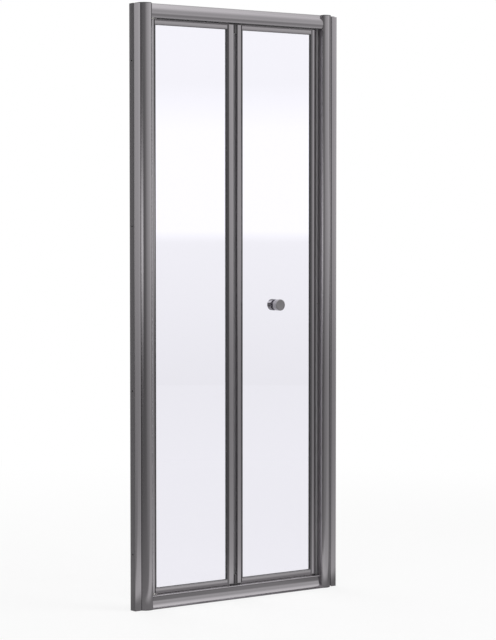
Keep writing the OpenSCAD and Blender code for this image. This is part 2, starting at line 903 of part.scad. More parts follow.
module pane(x0, x1) {
    block([x0 - embed, -glass_t / 2, glass_z - embed],
          [x1 + embed, glass_t / 2, glass_top + embed]);
}

module glass_a() {
    color("#dfe6ea", 0.4) pane(rail_a_x0, rail_a_x1);
}

module glass_b() {
    color("#dfe6ea", 0.4)
        difference() {
            pane(rail_b_x0, rail_b_x1);
            translate([knob_x, -glass_t, knob_z])
                rotate([-90, 0, 0]) cylinder(h = 2 * glass_t, d = glass_hole_d);
        }
}

// A rectangular ring in the X-Z plane, from y0 to y1, with sides of the two given widths
module ring(x0, x1, z0, z1, side_w, end_h, y0, y1) {
    difference() {
        block([x0, y0, z0], [x1, y1, z1]);
        block([x0 + side_w, y0 - over, z0 + end_h], [x1 - side_w, y1 + over, z1 - end_h]);
    }
}

// The seal round one pane: a strip inside the pocket and a lip that shows, on both faces
module glazing_seal(x0, x1) {
    inner = glass_t / 2;
    for (side = [-1, 1]) {
        y0 = side < 0 ? -inner - seal_t : inner;
        lip_y0 = side < 0 ? -inner - seal_lip_t : inner;
        ring(x0 - embed, x1 + embed, glass_z - embed, glass_top + embed,
             embed + seal_show, embed + seal_show_rail, y0, y0 + seal_t);
        ring(x0, x1, glass_z, glass_top, seal_show, seal_show_rail, lip_y0, lip_y0 + seal_lip_t);
    }
}

module glazing_seal_a() {
    color(rubber) glazing_seal(rail_a_x0, rail_a_x1);
}

module glazing_seal_b() {
    color(rubber) glazing_seal(rail_b_x0, rail_b_x1);
}

// ---- Drip seals, fold lips and the leaf's magnetic strip ----

// A foot under the rail and a fin that hangs from its front edge down to the sill
module drip_section() {
    translate([-drip_foot_w / 2, rail_z - drip_foot_t]) square([drip_foot_w, drip_foot_t]);
    translate([-drip_foot_w / 2, sill_h + 2 * run_gap])
        square([drip_t, rail_z - sill_h - 2 * run_gap]);
}

module drip_seal_a() {
    color(rubber) along_x(rail_a_x0, rail_a_x1 - rail_a_x0) drip_section();
}

module drip_seal_b() {
    color(rubber) along_x(rail_b_x0, rail_b_x1 - rail_b_x0) drip_section();
}

fold_lip_w = fold_gap / 2 - run_gap / 2;
fold_lip_z0 = leaf_z + link_block_h + 2 * run_gap;
fold_lip_z1 = leaf_top - link_block_h - 2 * run_gap;

// A lip from a fold stile's edge to the middle of the gap, with a round tip
module fold_lip(x, side) {
    tip = fold_lip_t / 2;
    color(rubber)
        upright(fold_lip_z0, fold_lip_z1 - fold_lip_z0) {
            translate([side > 0 ? x : x - fold_lip_w + tip, fold_lip_back])
                square([fold_lip_w - tip, fold_lip_t]);
            translate([x + side * (fold_lip_w - tip), fold_lip_back + tip]) circle(r = tip);
        }
}

module fold_lip_a() {
    fold_lip(leaf_a_end, 1);
}

module fold_lip_b() {
    fold_lip(leaf_b_x, -1);
}

leaf_magnet_w = closing_gap - post_magnet_w - run_gap;

module leaf_magnet_strip() {
    color(rubber)
        block([leaf_b_end, -leaf_magnet_d / 2, leaf_z],
              [leaf_b_end + leaf_magnet_w, leaf_magnet_d / 2, leaf_top]);
}

// ---- Pivot pins, roller axle and guide pin ----

// The outer pins stop below the glass
outer_pin_in = glass_z - pocket_d - leaf_z;
pin_end_gap = 1;

module pivot_pin_top() {
    color(steel)
        upright_pin(pivot_x, leaf_top - outer_pin_in, head_z + head_track_d - pin_end_gap, pin_d);
}

module pivot_pin_bottom() {
    color(steel)
        upright_pin(pivot_x, sill_h - sill_track_d + pin_end_gap, leaf_z + outer_pin_in, pin_d);
}

roller_z = head_z + (head_track_d - roller_h) / 2;
axle_head_d = 8;
axle_head_t = 2;

module roller_axle() {
    color(steel) {
        upright_pin(guide_x, leaf_top - outer_pin_in, roller_z + roller_h + run_gap, pin_d);
        upright_pin(guide_x, leaf_top, roller_z - run_gap, axle_head_d);
        upright_pin(guide_x, roller_z + roller_h + run_gap,
                    roller_z + roller_h + run_gap + axle_head_t, axle_head_d);
    }
}

shoe_floor_gap = 2;
shoe_z = sill_h - sill_track_d + shoe_floor_gap;

module guide_pin() {
    color(steel) {
        upright_pin(guide_x, shoe_z + pin_end_gap, leaf_z + outer_pin_in, pin_d);
        upright_pin(guide_x, shoe_z + shoe_h + run_gap, leaf_z, axle_head_d);
    }
}

// ---- Top roller: a bevelled nylon wheel between the walls of the head rail's track ----

module track_roller() {
    roller_r = head_track_half - run_gap;
    crown = roller_edge;
    color("#d8d8d4")
        translate([guide_x, 0, roller_z])
            rotate_extrude()
                polygon([[bore_d / 2, 0], [roller_r - crown, 0], [roller_r, crown],
                         [roller_r, roller_h - crown], [roller_r - crown, roller_h],
                         [bore_d / 2, roller_h]]);
}

// ---- Guide shoe: a round-ended slider in the sill's track ----

module guide_shoe() {
    shoe_w = sill_track_w - 2 * run_gap;
    straight = shoe_l - shoe_w;
    color("#d8d8d4")
        difference() {
            upright(shoe_z, shoe_h) {
                translate([guide_x - straight / 2, -shoe_w / 2]) square([straight, shoe_w]);
                for (side = [-1, 1])
                    translate([guide_x + side * straight / 2, 0]) circle(d = shoe_w);
            }
            upright_pin(guide_x, shoe_z - over, shoe_z + shoe_h + over, bore_d);
        }
}

// ---- Hinge links: a plate across both fold stiles with a block between them ----

module link_outline() {
    translate([hinge_a_x, -link_w / 2]) square([hinge_b_x - hinge_a_x, link_w]);
    for (x = [hinge_a_x, hinge_b_x]) translate([x, 0]) circle(d = link_w);
}

// The bottom link. Its plate lies under the stiles and its block rises between them
module hinge_link() {
    plate_z = leaf_z - run_gap - link_t;
    difference() {
        union() {
            upright(plate_z, link_t) link_outline();
            block([hinge_mid_x - link_block_w / 2, -link_w / 2, plate_z],
                  [hinge_mid_x + link_block_w / 2, link_w / 2, leaf_z + link_block_h]);
        }
        for (x = [hinge_a_x, hinge_b_x])
            upright_pin(x, plate_z - over, plate_z + link_t + over, pin_d);
    }
}

module hinge_pins() {
    for (x = [hinge_a_x, hinge_b_x])
        upright_pin(x, leaf_z - run_gap - link_t, leaf_z + pin_in, pin_d);
}

module hinge_link_bottom() {
    color(dark_metal) hinge_link();
}

module hinge_link_top() {
    color(dark_metal) translate([0, 0, leaf_z + leaf_top]) mirror([0, 0, 1]) hinge_link();
}

module hinge_pins_bottom() {
    color(steel) hinge_pins();
}

module hinge_pins_top() {
    color(steel) translate([0, 0, leaf_z + leaf_top]) mirror([0, 0, 1]) hinge_pins();
}

// ---- Knobs ----

bolt_bore_end = glass_t / 2 + washer_t + bolt_in;

// One knob, with its axis along -Y from the glass: a neck and a flat-faced round grip
module knob() {
    base = glass_t / 2 + washer_t;
    tip = glass_t / 2 + knob_l;
    r = knob_d / 2;
    neck_r = knob_neck_d / 2;
    translate([knob_x, 0, knob_z])
        rotate([90, 0, 0])
            rotate_extrude($fn = 128)
                polygon([[0, bolt_bore_end], [bolt_d / 2, bolt_bore_end], [bolt_d / 2, base],
                         [neck_r, base], [neck_r, base + knob_neck_l],
                         [r - knob_bevel, base + knob_neck_l],
                         [r, base + knob_neck_l + knob_bevel], [r, tip - knob_bevel],
                         [r - knob_bevel, tip], [0, tip]]);
}

module knob_outer() {
    color(metal) knob();
}

module knob_inner() {
    color(metal) mirror([0, 1, 0]) knob();
}

module knob_bolt() {
    color(steel)
        translate([knob_x, -bolt_bore_end, knob_z])
            rotate([-90, 0, 0]) cylinder(h = 2 * bolt_bore_end, d = bolt_d);
}

// Two clear washers and the sleeve that keeps the bolt off the glass
module knob_washers() {
    color("#c9ccd0", 0.6)
        translate([knob_x, 0, knob_z])
            rotate([90, 0, 0])
                difference() {
                    union() {
                        for (z = [-glass_t / 2 - washer_t, glass_t / 2])
                            translate([0, 0, z]) cylinder(h = washer_t, d = knob_neck_d);
                        translate([0, 0, -glass_t / 2]) cylinder(h = glass_t, d = glass_hole_d);
                    }
                    translate([0, 0, -glass_t]) cylinder(h = 2 * glass_t, d = bolt_d);
                }
}

wall_channel_left();
wall_channel_right();
post_left();
post_right();
head_rail();
sill();
post_caps_left();
post_caps_right();
adjusting_screws();
adjusting_screw_covers();
frame_corner_screws();
pivot_block_top();
pivot_block_bottom();
pivot_block_screws();
post_magnet_strip();
pivot_seal();
strip_screw();
pivot_stile();
fold_stile_a();
top_rail_a();
bottom_rail_a();
glass_a();
glazing_seal_a();
drip_seal_a();
fold_lip_a();
pivot_plugs();
fold_plugs_a();
pivot_pin_top();
pivot_pin_bottom();
corner_screws_a();
fold_stile_b();
closing_stile();
top_rail_b();
bottom_rail_b();
glass_b();
glazing_seal_b();
drip_seal_b();
fold_lip_b();
fold_plugs_b();
closing_plugs();
leaf_magnet_strip();
knob_outer();
knob_inner();
knob_bolt();
knob_washers();
roller_axle();
guide_pin();
corner_screws_b();
hinge_link_top();
hinge_link_bottom();
hinge_pins_top();
hinge_pins_bottom();
track_roller();
guide_shoe();
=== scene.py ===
import logging
import math
from collections.abc import Callable
from dataclasses import dataclass, field
from enum import Enum

import bmesh
import bpy
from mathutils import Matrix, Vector


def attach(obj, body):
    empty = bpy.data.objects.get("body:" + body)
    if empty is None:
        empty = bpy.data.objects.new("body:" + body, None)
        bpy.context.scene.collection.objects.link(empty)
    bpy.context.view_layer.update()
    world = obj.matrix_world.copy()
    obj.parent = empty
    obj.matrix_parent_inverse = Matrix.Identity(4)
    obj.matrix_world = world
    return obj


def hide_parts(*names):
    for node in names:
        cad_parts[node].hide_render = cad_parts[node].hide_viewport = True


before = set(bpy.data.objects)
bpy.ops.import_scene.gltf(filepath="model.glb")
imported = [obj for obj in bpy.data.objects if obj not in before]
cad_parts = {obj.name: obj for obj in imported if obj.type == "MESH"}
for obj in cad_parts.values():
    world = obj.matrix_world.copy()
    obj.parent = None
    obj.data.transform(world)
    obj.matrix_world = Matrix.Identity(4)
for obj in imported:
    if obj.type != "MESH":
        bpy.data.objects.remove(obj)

log = logging.getLogger("shower_door")
MM = 0.001
# Vertices closer than this, in metres, are merged
WELD = 2e-6
# A vertex this near to a face, in millimetres, lies on it
NEAR = 0.01
# Corner radius of most chambers
CHAMBER_EDGE = 0.4
# How far a cutter stands past what it cuts
OVER = 1.0
# Height of the knobs' axis, and the thickness of the panes
KNOB_Z = 922.0
PANE = 5.0
Point = tuple[float, float]
Spot = tuple[float, float, float]
Colour = tuple[float, float, float]
Curve = tuple[Point, ...]
Piece = bpy.types.Object
Test = Callable[[list[Vector]], bool]


# ---- Drawing sections and modelling pieces ----

class Plane(Enum):
    """The plane in which a section is drawn. It is drawn out along the third direction."""

    UPRIGHT = "section in X-Y, drawn out along Z"
    LEVEL = "section in Y-Z, drawn out along X"
    FACING = "section in X-Z, drawn out along Y"

    def place(self, u: float, v: float, w: float) -> Vector:
        """Returns the point in metres of section place u, v at w along the drawn-out direction."""
        spots = {Plane.UPRIGHT: (u, v, w), Plane.LEVEL: (w, u, v), Plane.FACING: (u, w, v)}
        return Vector(spots[self]) * MM

    def turn_axis(self) -> Vector:
        """Returns the axis about which u turns towards v."""
        return {Plane.UPRIGHT: Vector((0, 0, 1)), Plane.LEVEL: Vector((1, 0, 0)),
                Plane.FACING: Vector((0, -1, 0))}[self]


@dataclass(frozen=True)
class Run:
    """A straight run to a place in the section."""

    to: Point


@dataclass(frozen=True)
class Bow:
    """An arc about a centre, in degrees from u towards v, drawn in a number of short runs."""

    centre: Point
    degrees: float
    runs: int


@dataclass
class Loop:
    """A closed line of a section: where it starts and the runs and arcs that follow."""

    start: Point
    steps: list[Run | Bow] = field(default_factory=list)

    def run(self, *points: Point) -> "Loop":
        """Adds straight runs through the points and returns the loop."""
        self.steps += [Run(p) for p in points]
        return self

    def bow(self, centre: Point, degrees: float, runs: int) -> "Loop":
        """Adds an arc and returns the loop."""
        self.steps.append(Bow(centre, degrees, runs))
        return self

    def draw(self, plane: Plane, at: float) -> None:
        """Draws the loop in edit mode by extruding and spinning one vertex.

        Args:
            plane: The plane of the section.
            at: The place of that plane along the drawn-out direction.
        """
        here = plane.place(*self.start, at)
        bpy.ops.mesh.primitive_plane_add(size=MM, location=here)
        bpy.ops.mesh.merge(type="CENTER")
        axis = plane.turn_axis()
        for step in self.steps:
            if isinstance(step, Run):
                there = plane.place(*step.to, at)
                bpy.ops.mesh.extrude_vertices_move(
                    TRANSFORM_OT_translate={"value": there - here})
                here = there
            else:
                # The spin operator turns the other way round its axis
                centre = plane.place(*step.centre, at)
                turn = math.radians(step.degrees)
                bpy.ops.mesh.spin(steps=step.runs, angle=-turn, center=centre, axis=axis)
                arm = here - centre
                here = centre + arm * math.cos(turn) + axis.cross(arm) * math.sin(turn)
        back = plane.place(*self.start, at) - here
        if back.length > WELD / 2:
            bpy.ops.mesh.extrude_vertices_move(TRANSFORM_OT_translate={"value": back})


def rounded(corners: list[Spot], runs: int = 4) -> Loop:
    """Makes a closed loop through corners that are rounded.

    Args:
        corners: For each corner its place u, v and its radius.
        runs: The number of short runs in each rounding.

    Returns:
        The loop, in the order of the corners.
    """
    loop: Loop | None = None
    for i, (u, v, radius) in enumerate(corners):
        here = Vector((u, v))
        back = (Vector(corners[i - 1][:2]) - here).normalized()
        onward = (Vector(corners[(i + 1) % len(corners)][:2]) - here).normalized()
        half = back.angle(onward) / 2
        enter = here + back * radius / math.tan(half)
        loop = loop.run(tuple(enter)) if loop else Loop(tuple(enter))
        if radius:
            centre = here + (back + onward).normalized() * radius / math.sin(half)
            side = 1 if back.x * onward.y - back.y * onward.x < 0 else -1
            loop.bow(tuple(centre), side * (180 - 2 * math.degrees(half)), runs)
    return loop


def box_loop(u0: float, v0: float, u1: float, v1: float, radius: float = 0.0) -> Loop:
    """Returns a rectangle between two corners, with that radius at each corner."""
    return rounded([(u0, v0, radius), (u1, v0, radius), (u1, v1, radius), (u0, v1, radius)])


@dataclass(frozen=True)
class Circle:
    """A circle in a section, for finding where its arcs start and end."""

    centre: Point
    radius: float

    def left(self, v: float) -> tuple[Point, float]:
        """Finds the circle's left-hand point at a height.

        Args:
            v: The height.

        Returns:
            The point, and its angle between 90 and 270 degrees.
        """
        dv = v - self.centre[1]
        du = -math.sqrt(self.radius ** 2 - dv ** 2)
        return (self.centre[0] + du, v), math.degrees(math.atan2(dv, du)) % 360

    def under(self, u: float) -> tuple[Point, float]:
        """Finds the circle's lower point at a place.

        Args:
            u: The place.

        Returns:
            The point, and its angle between -180 and 0 degrees.
        """
        du = u - self.centre[0]
        dv = -math.sqrt(self.radius ** 2 - du ** 2)
        return (u, self.centre[1] + dv), math.degrees(math.atan2(dv, du))

    def corner(self, side: float, radius: float) -> tuple[Point, float]:
        """Finds the rounding that leads from an upright side into the circle's lower right.

        Args:
            side: The side's place.
            radius: The rounding's radius.

        Returns:
            The rounding's middle, and its length in degrees, below 0.
        """
        across = side - radius - self.centre[0]
        drop = math.sqrt((self.radius - radius) ** 2 - across ** 2)
        return (side - radius, self.centre[1] - drop), math.degrees(math.atan2(-drop, across))


class Bench:
    """Models pieces with Blender's own tools, as by hand."""

    @staticmethod
    def clear() -> None:
        """Leaves edit mode and selects nothing."""
        if bpy.context.object and bpy.context.object.mode != "OBJECT":
            bpy.ops.object.mode_set(mode="OBJECT")
        bpy.ops.object.select_all(action="DESELECT")

    @staticmethod
    def only(piece: Piece) -> Piece:
        """Selects one piece alone and makes it active.

        Args:
            piece: The piece.

        Returns:
            The same piece.
        """
        Bench.clear()
        piece.select_set(True)
        bpy.context.view_layer.objects.active = piece
        return piece

    @staticmethod
    def edit(piece: Piece, mode: str = "VERT") -> None:
        """Opens a piece in edit mode with nothing selected.

        Args:
            piece: The piece to open.
            mode: VERT, EDGE or FACE.
        """
        Bench.only(piece)
        bpy.ops.object.mode_set(mode="EDIT")
        bpy.ops.mesh.select_mode(type=mode)
        bpy.ops.mesh.select_all(action="DESELECT")

    @staticmethod
    def pick(piece: Piece, test: Test, mode: str) -> None:
        """Selects what passes a test, in a piece that is open in edit mode.

        Args:
            piece: The piece in edit mode.
            test: Gets the places in millimetres of an element's vertices.
            mode: VERT, EDGE or FACE.
        """
        mesh = bmesh.from_edit_mesh(piece.data)
        elements = {"VERT": mesh.verts, "EDGE": mesh.edges, "FACE": mesh.faces}[mode]
        for element in elements:
            owned = [element] if mode == "VERT" else element.verts
            if test([v.co / MM for v in owned]):
                element.select_set(True)
        mesh.select_flush_mode()
        bmesh.update_edit_mesh(piece.data)

    @staticmethod
    def settle(piece: Piece) -> Piece:
        """Puts a piece's place, turn and size into its mesh.

        Args:
            piece: The piece.

        Returns:
            The same piece, with its object at the origin.
        """
        Bench.only(piece)
        bpy.ops.object.transform_apply(location=True, rotation=True, scale=True)
        return piece

    @staticmethod
    def blank(place: Vector) -> Piece:
        """Starts a piece whose section is drawn next.

        Args:
            place: Where the piece starts, in metres.

        Returns:
            A piece with an empty mesh, open in edit mode.
        """
        Bench.clear()
        bpy.ops.mesh.primitive_plane_add(size=MM, location=place)
        bpy.ops.object.mode_set(mode="EDIT")
        bpy.ops.mesh.select_mode(type="VERT")
        bpy.ops.mesh.delete(type="VERT")
        return bpy.context.object

    @staticmethod
    def weld() -> None:
        """Merges the doubles of the piece that is open in edit mode."""
        bpy.ops.mesh.select_all(action="SELECT")
        bpy.ops.mesh.remove_doubles(threshold=WELD)

    @staticmethod
    def face_out() -> None:
        """Turns all faces of the piece that is open in edit mode outwards."""
        bpy.ops.mesh.select_all(action="SELECT")
        bpy.ops.mesh.normals_make_consistent(inside=False)

    @staticmethod
    def extrusion(loops: list[Loop], plane: Plane, start: float, end: float) -> Piece:
        """Draws a section of one or more loops and draws it out into a closed solid.

        Args:
            loops: The outline and the chambers in it.
            plane: The plane of the section.
            start: Where the solid starts along the drawn-out direction.
            end: Where it ends.

        Returns:
            The solid.
        """
        piece = Bench.blank(plane.place(0, 0, start))
        for loop in loops:
            loop.draw(plane, start)
        bpy.ops.object.mode_set(mode="OBJECT")
        Bench.settle(piece)
        bpy.ops.object.mode_set(mode="EDIT")
        Bench.weld()
        way = plane.place(0, 0, end) - plane.place(0, 0, start)
        bpy.ops.mesh.extrude_region_move(TRANSFORM_OT_translate={"value": way})
        along = max(range(3), key=lambda k: abs(way[k]))
        for level in (end, start):
            bpy.ops.mesh.select_all(action="DESELECT")
            Bench.pick(piece, lambda owned: abs(owned[0][along] - level) < NEAR, "VERT")
            bpy.ops.mesh.fill(use_beauty=False)
            bpy.ops.mesh.dissolve_limited(angle_limit=math.radians(0.5))
        Bench.face_out()
        Bench.clear()
        return piece

    @staticmethod
    def turned(profile: Loop, centre: Spot, runs: int) -> Piece:
        """Turns a half profile about the Y axis through a centre, as on a lathe.

        Args:
            profile: The half profile, u away from the axis and v along Y.
            centre: The place of the profile's origin.
            runs: The number of steps round.

        Returns:
            The turned solid.
        """
        piece = Bench.blank(Vector((0, 0, 0)))
        profile.draw(Plane.UPRIGHT, 0.0)
        bpy.ops.mesh.select_all(action="SELECT")
        bpy.ops.mesh.spin(steps=runs, angle=2 * math.pi, center=(0, 0, 0), axis=(0, 1, 0))
        Bench.weld()
        bpy.ops.mesh.dissolve_degenerate(threshold=WELD / 20)
        Bench.face_out()
        bpy.ops.transform.translate(value=Vector(centre) * MM)
        return Bench.settle(piece)

    @staticmethod
    def block(low: Spot, high: Spot) -> Piece:
        """Makes a plain block, used to cut or as a start.

        Args:
            low: Its lowest corner.
            high: Its highest corner.

        Returns:
            The block.
        """
        Bench.clear()
        low_v, high_v = Vector(low) * MM, Vector(high) * MM
        bpy.ops.mesh.primitive_cube_add(size=1, location=(low_v + high_v) / 2,
                                        scale=high_v - low_v)
        return Bench.settle(bpy.context.object)

    @staticmethod
    def rod(middle: Spot, diameter: float, length: float, axis: str, sides: int = 32) -> Piece:
        """Makes a round rod, used to cut.

        Args:
            middle: The middle of the rod.
            diameter: Its diameter.
            length: Its length.
            axis: X or Y.
            sides: The number of its sides.

        Returns:
            The rod.
        """
        Bench.clear()
        turn = {"X": (0, math.pi / 2, 0), "Y": (math.pi / 2, 0, 0)}[axis]
        bpy.ops.mesh.primitive_cylinder_add(vertices=sides, radius=diameter / 2 * MM,
                                            depth=length * MM, location=Vector(middle) * MM,
                                            rotation=turn)
        return Bench.settle(bpy.context.object)

    @staticmethod
    def work(piece: Piece, tools: list[Piece],
             operation: str = "DIFFERENCE") -> Piece:
        """Cuts tools out of a piece, or joins them to it, and clears them away.

        Args:
            piece: The piece that stays.
            tools: The tools.
            operation: DIFFERENCE or UNION.

        Returns:
            The worked piece.
        """
        for tool in tools:
            Bench.only(piece)
            change = piece.modifiers.new("work", "BOOLEAN")
            change.object, change.operation, change.solver = tool, operation, "EXACT"
            bpy.ops.object.modifier_apply(modifier=change.name)
            bpy.data.meshes.remove(tool.data)
        return piece

    @staticmethod
    def bevel(piece: Piece, width: float, runs: int) -> None:
        """Rounds every edge of a piece that is sharper than 40 degrees.

        Args:
            piece: The piece to bevel.
            width: The width of the bevel.
            runs: The number of its steps.
        """
        Bench.only(piece)
        change = piece.modifiers.new("edges", "BEVEL")
        change.width, change.segments = width * MM, runs
        change.limit_method, change.angle_limit = "ANGLE", math.radians(40)
        change.use_clamp_overlap = True
        bpy.ops.object.modifier_apply(modifier=change.name)

    @staticmethod
    def join(piece: Piece, other: Piece) -> None:
        """Joins a second piece to the first, without merging their surfaces.

        Args:
            piece: The piece that stays.
            other: The piece that is taken up in it.
        """
        Bench.only(piece)
        other.select_set(True)
        bpy.ops.object.join()

    @staticmethod
    def mirrored(piece: Piece, axis: int, middle: float) -> Piece:
        """Copies a piece and mirrors the copy across a plane.

        Args:
            piece: The piece to copy.
            axis: 0, 1 or 2, the direction that is turned round.
            middle: The place of the mirror plane along that direction.

        Returns:
            The mirrored copy, with its own mesh.
        """
        Bench.only(piece)
        bpy.ops.object.duplicate(linked=False)
        copy = bpy.context.object
        Bench.edit(copy)
        bpy.ops.mesh.select_all(action="SELECT")
        factor, centre = [1.0, 1.0, 1.0], [0.0, 0.0, 0.0]
        factor[axis], centre[axis] = -1.0, middle * MM
        bpy.ops.transform.resize(value=factor, center_override=centre)
        bpy.ops.mesh.flip_normals()
        Bench.clear()
        return copy

    @staticmethod
    def place(piece: Piece, name: str, body: str, finish: "Finish",
              nodes: tuple[str, ...] = (), slot: str = "", smooth: float = 28.0) -> None:
        """Names a finished piece, dresses it and hangs it on its body.

        Args:
            piece: The modelled piece.
            name: Its name.
            body: The moving body that carries it.
            finish: Its finish.
            nodes: The CAD nodes that it stands for.
            slot: The record's material slot. It is not used.
            smooth: Edges below this angle in degrees are shaded smooth.
        """
        Bench.only(piece)
        bpy.ops.object.shade_smooth_by_angle(angle=math.radians(smooth))
        piece.name = piece.data.name = name
        piece.data.materials.clear()
        piece.data.materials.append(finish.material())
        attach(piece, body)
        if nodes:
            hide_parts(*nodes)
        log.info("%s: %d faces on %s", name, len(piece.data.polygons), body)

    @staticmethod
    def refinish(piece: Piece, finish: "Finish",
                 test: Test) -> None:
        """Gives some faces of a placed piece another finish.

        Args:
            piece: The placed piece.
            finish: The other finish.
            test: Gets the places in millimetres of a face's corners.
        """
        Bench.edit(piece, "FACE")
        Bench.pick(piece, test, "FACE")
        piece.data.materials.append(finish.material())
        piece.active_material_index = len(piece.data.materials) - 1
        bpy.ops.object.material_slot_assign()
        Bench.clear()


# ---- Shader maths and finishes ----

class Value:
    """A shader socket with the usual operators, so that maths reads as maths."""

    def __init__(self, tree: "Tree", socket: bpy.types.NodeSocket | None) -> None:
        """Keeps the tree and the output socket, which an end node lacks."""
        self.tree, self.socket = tree, socket

    def others(self, *names: str) -> dict[str, "Value"]:
        """Returns outputs of this value's node by name."""
        return {name: Value(self.tree, self.socket.node.outputs[name]) for name in names}

    def maths(self, operation: str, *others: "Value | float") -> "Value":
        """Adds a Math node on this value and others, and returns its result."""
        values = {0: self} | {i + 1: other for i, other in enumerate(others)}
        return self.tree.node("ShaderNodeMath", {"operation": operation}, values)

    def __add__(self, other: "Value | float") -> "Value":
        """Returns the sum."""
        return self.maths("ADD", other)

    def __sub__(self, other: "Value | float") -> "Value":
        """Returns the difference."""
        return self.maths("SUBTRACT", other)

    def __mul__(self, other: "Value | float") -> "Value":
        """Returns the product."""
        return self.maths("MULTIPLY", other)

    def __truediv__(self, other: "Value | float") -> "Value":
        """Returns the quotient."""
        return self.maths("DIVIDE", other)

    def __pow__(self, other: "Value | float") -> "Value":
        """Returns the power."""
        return self.maths("POWER", other)

    def __neg__(self) -> "Value":
        """Returns the negative."""
        return self.maths("MULTIPLY", -1.0)

    def __rsub__(self, other: float) -> "Value":
        """Returns a number less this value."""
        return self.tree.node("ShaderNodeMath", {"operation": "SUBTRACT"}, {0: other, 1: self})

    __radd__ = __add__
    __rmul__ = __mul__


class Tree:
    """The nodes of one material or world."""

    def __init__(self, owner: bpy.types.Material | bpy.types.World) -> None:
        """Starts an empty tree.

        Args:
            owner: The material or world.
        """
        owner.use_nodes = True
        self.nodes, self.links = owner.node_tree.nodes, owner.node_tree.links
        self.nodes.clear()

    def node(self, kind: str, settings: dict | None = None, inputs: dict | None = None,
             output: str | int = 0) -> Value:
        """Adds one node.

        Args:
            kind: The node's type.
            settings: Its settings. A ramp's stops come as "stops", before its interpolation.
            inputs: A value or a link for each named or numbered socket.
            output: The output that is returned.

        Returns:
            That output, or a value without a socket where the node has no outputs.
        """
        made = self.nodes.new(kind)
        for key, setting in (settings or {}).items():
            if key == "stops":
                ramp = made.color_ramp.elements
                while len(ramp) > 1:
                    ramp.remove(ramp[-1])
                for i, (place, shade) in enumerate(setting):
                    stop = ramp[0] if i == 0 else ramp.new(place)
                    stop.position, stop.color = place, (shade, shade, shade, 1)
            elif key == "interpolation":
                made.color_ramp.interpolation = setting
            else:
                setattr(made, key, setting)
        for key, value in (inputs or {}).items():
            if isinstance(value, Value):
                self.links.new(value.socket, made.inputs[key])
            else:
                made.inputs[key].default_value = value
        return Value(self, made.outputs[output] if made.outputs else None)

    def parts(self, vector: Value) -> dict[str, Value]:
        """Returns the three parts of a vector by name."""
        return self.node("ShaderNodeSeparateXYZ", inputs={0: vector}).others("X", "Y", "Z")

    def rays(self) -> dict[str, Value]:
        """Returns the kinds of ray that the surroundings tell apart, by name."""
        return self.node("ShaderNodeLightPath").others(
            "Is Camera Ray", "Is Glossy Ray", "Is Transmission Ray")

    def mix(self, factor: Value, first: Value, second: Value) -> Value:
        """Returns a mix of two shaders by a factor."""
        return self.node("ShaderNodeMixShader", inputs={0: factor, 1: first, 2: second})

    def smooth(self, value: Value, low: float, high: float) -> Value:
        """Returns a soft step from 0 at low to 1 at high."""
        return self.node("ShaderNodeMapRange", {"interpolation_type": "SMOOTHSTEP"},
                         {"Value": value, "From Min": low, "From Max": high})

    def noise(self, scale: Spot, detail: float, roughness: float = 0.5) -> Value:
        """Makes noise on Object coordinates.

        Args:
            scale: How fine it is along X, Y and Z.
            detail: How many finer layers it has.
            roughness: How strong they are.

        Returns:
            The noise, from 0 to 1.
        """
        place = self.node("ShaderNodeTexCoord", output="Object")
        place = self.node("ShaderNodeMapping", inputs={"Vector": place, "Scale": scale})
        return self.node("ShaderNodeTexNoise", inputs={
            "Vector": place, "Scale": 1.0, "Detail": detail, "Roughness": roughness})

    def tint(self, factor: Value, first: Colour, second: Colour) -> Value:
        """Returns a colour between two by a factor."""
        return self.node("ShaderNodeMix", {"data_type": "RGBA"}, {
            "Factor": factor, 6: (*first, 1.0), 7: (*second, 1.0)}, output=2)

    def bump(self, height: Value, strength: float, distance: float) -> Value:
        """Returns a normal from a height, with the distance in millimetres."""
        return self.node("ShaderNodeBump", inputs={
            "Height": height, "Strength": strength, "Distance": distance * MM})


class Finish:
    """A finish that makes its material once and then hands out the same one."""

    name: str
    colour: Colour
    # The colour's shares between which its shade varies
    shades: Point
    made: dict[str, bpy.types.Material] = {}

    def material(self) -> bpy.types.Material:
        """Makes the material at first use, and later hands out the same one.

        Returns:
            The finish's material.
        """
        key = repr(self)
        if key not in Finish.made:
            new = bpy.data.materials.new(self.name)
            tree = Tree(new)
            tree.node("ShaderNodeOutputMaterial", inputs={"Surface": self.shade(tree)})
            Finish.made[key] = new
        return Finish.made[key]

    def shade(self, tree: Tree) -> Value:
        """Builds the shader.

        Args:
            tree: The material's nodes.

        Returns:
            The shader.
        """
        raise NotImplementedError

    def tinted(self, tree: Tree, factor: Value) -> Value:
        """Varies the finish's colour between its darkest and its lightest shade.

        Args:
            tree: The material's nodes.
            factor: What the colour follows, from 0 to 1.

        Returns:
            The varied colour.
        """
        low, high = (tuple(min(1.0, c * share) for c in self.colour) for share in self.shades)
        return tree.tint(factor, low, high)


class Grain(Enum):
    """The direction of a bar's drawn lines, as how fine they are along X, Y and Z."""

    UPRIGHT = (900.0, 900.0, 1.6)
    LEVEL = (1.6, 900.0, 900.0)
    NONE = (240.0, 240.0, 240.0)


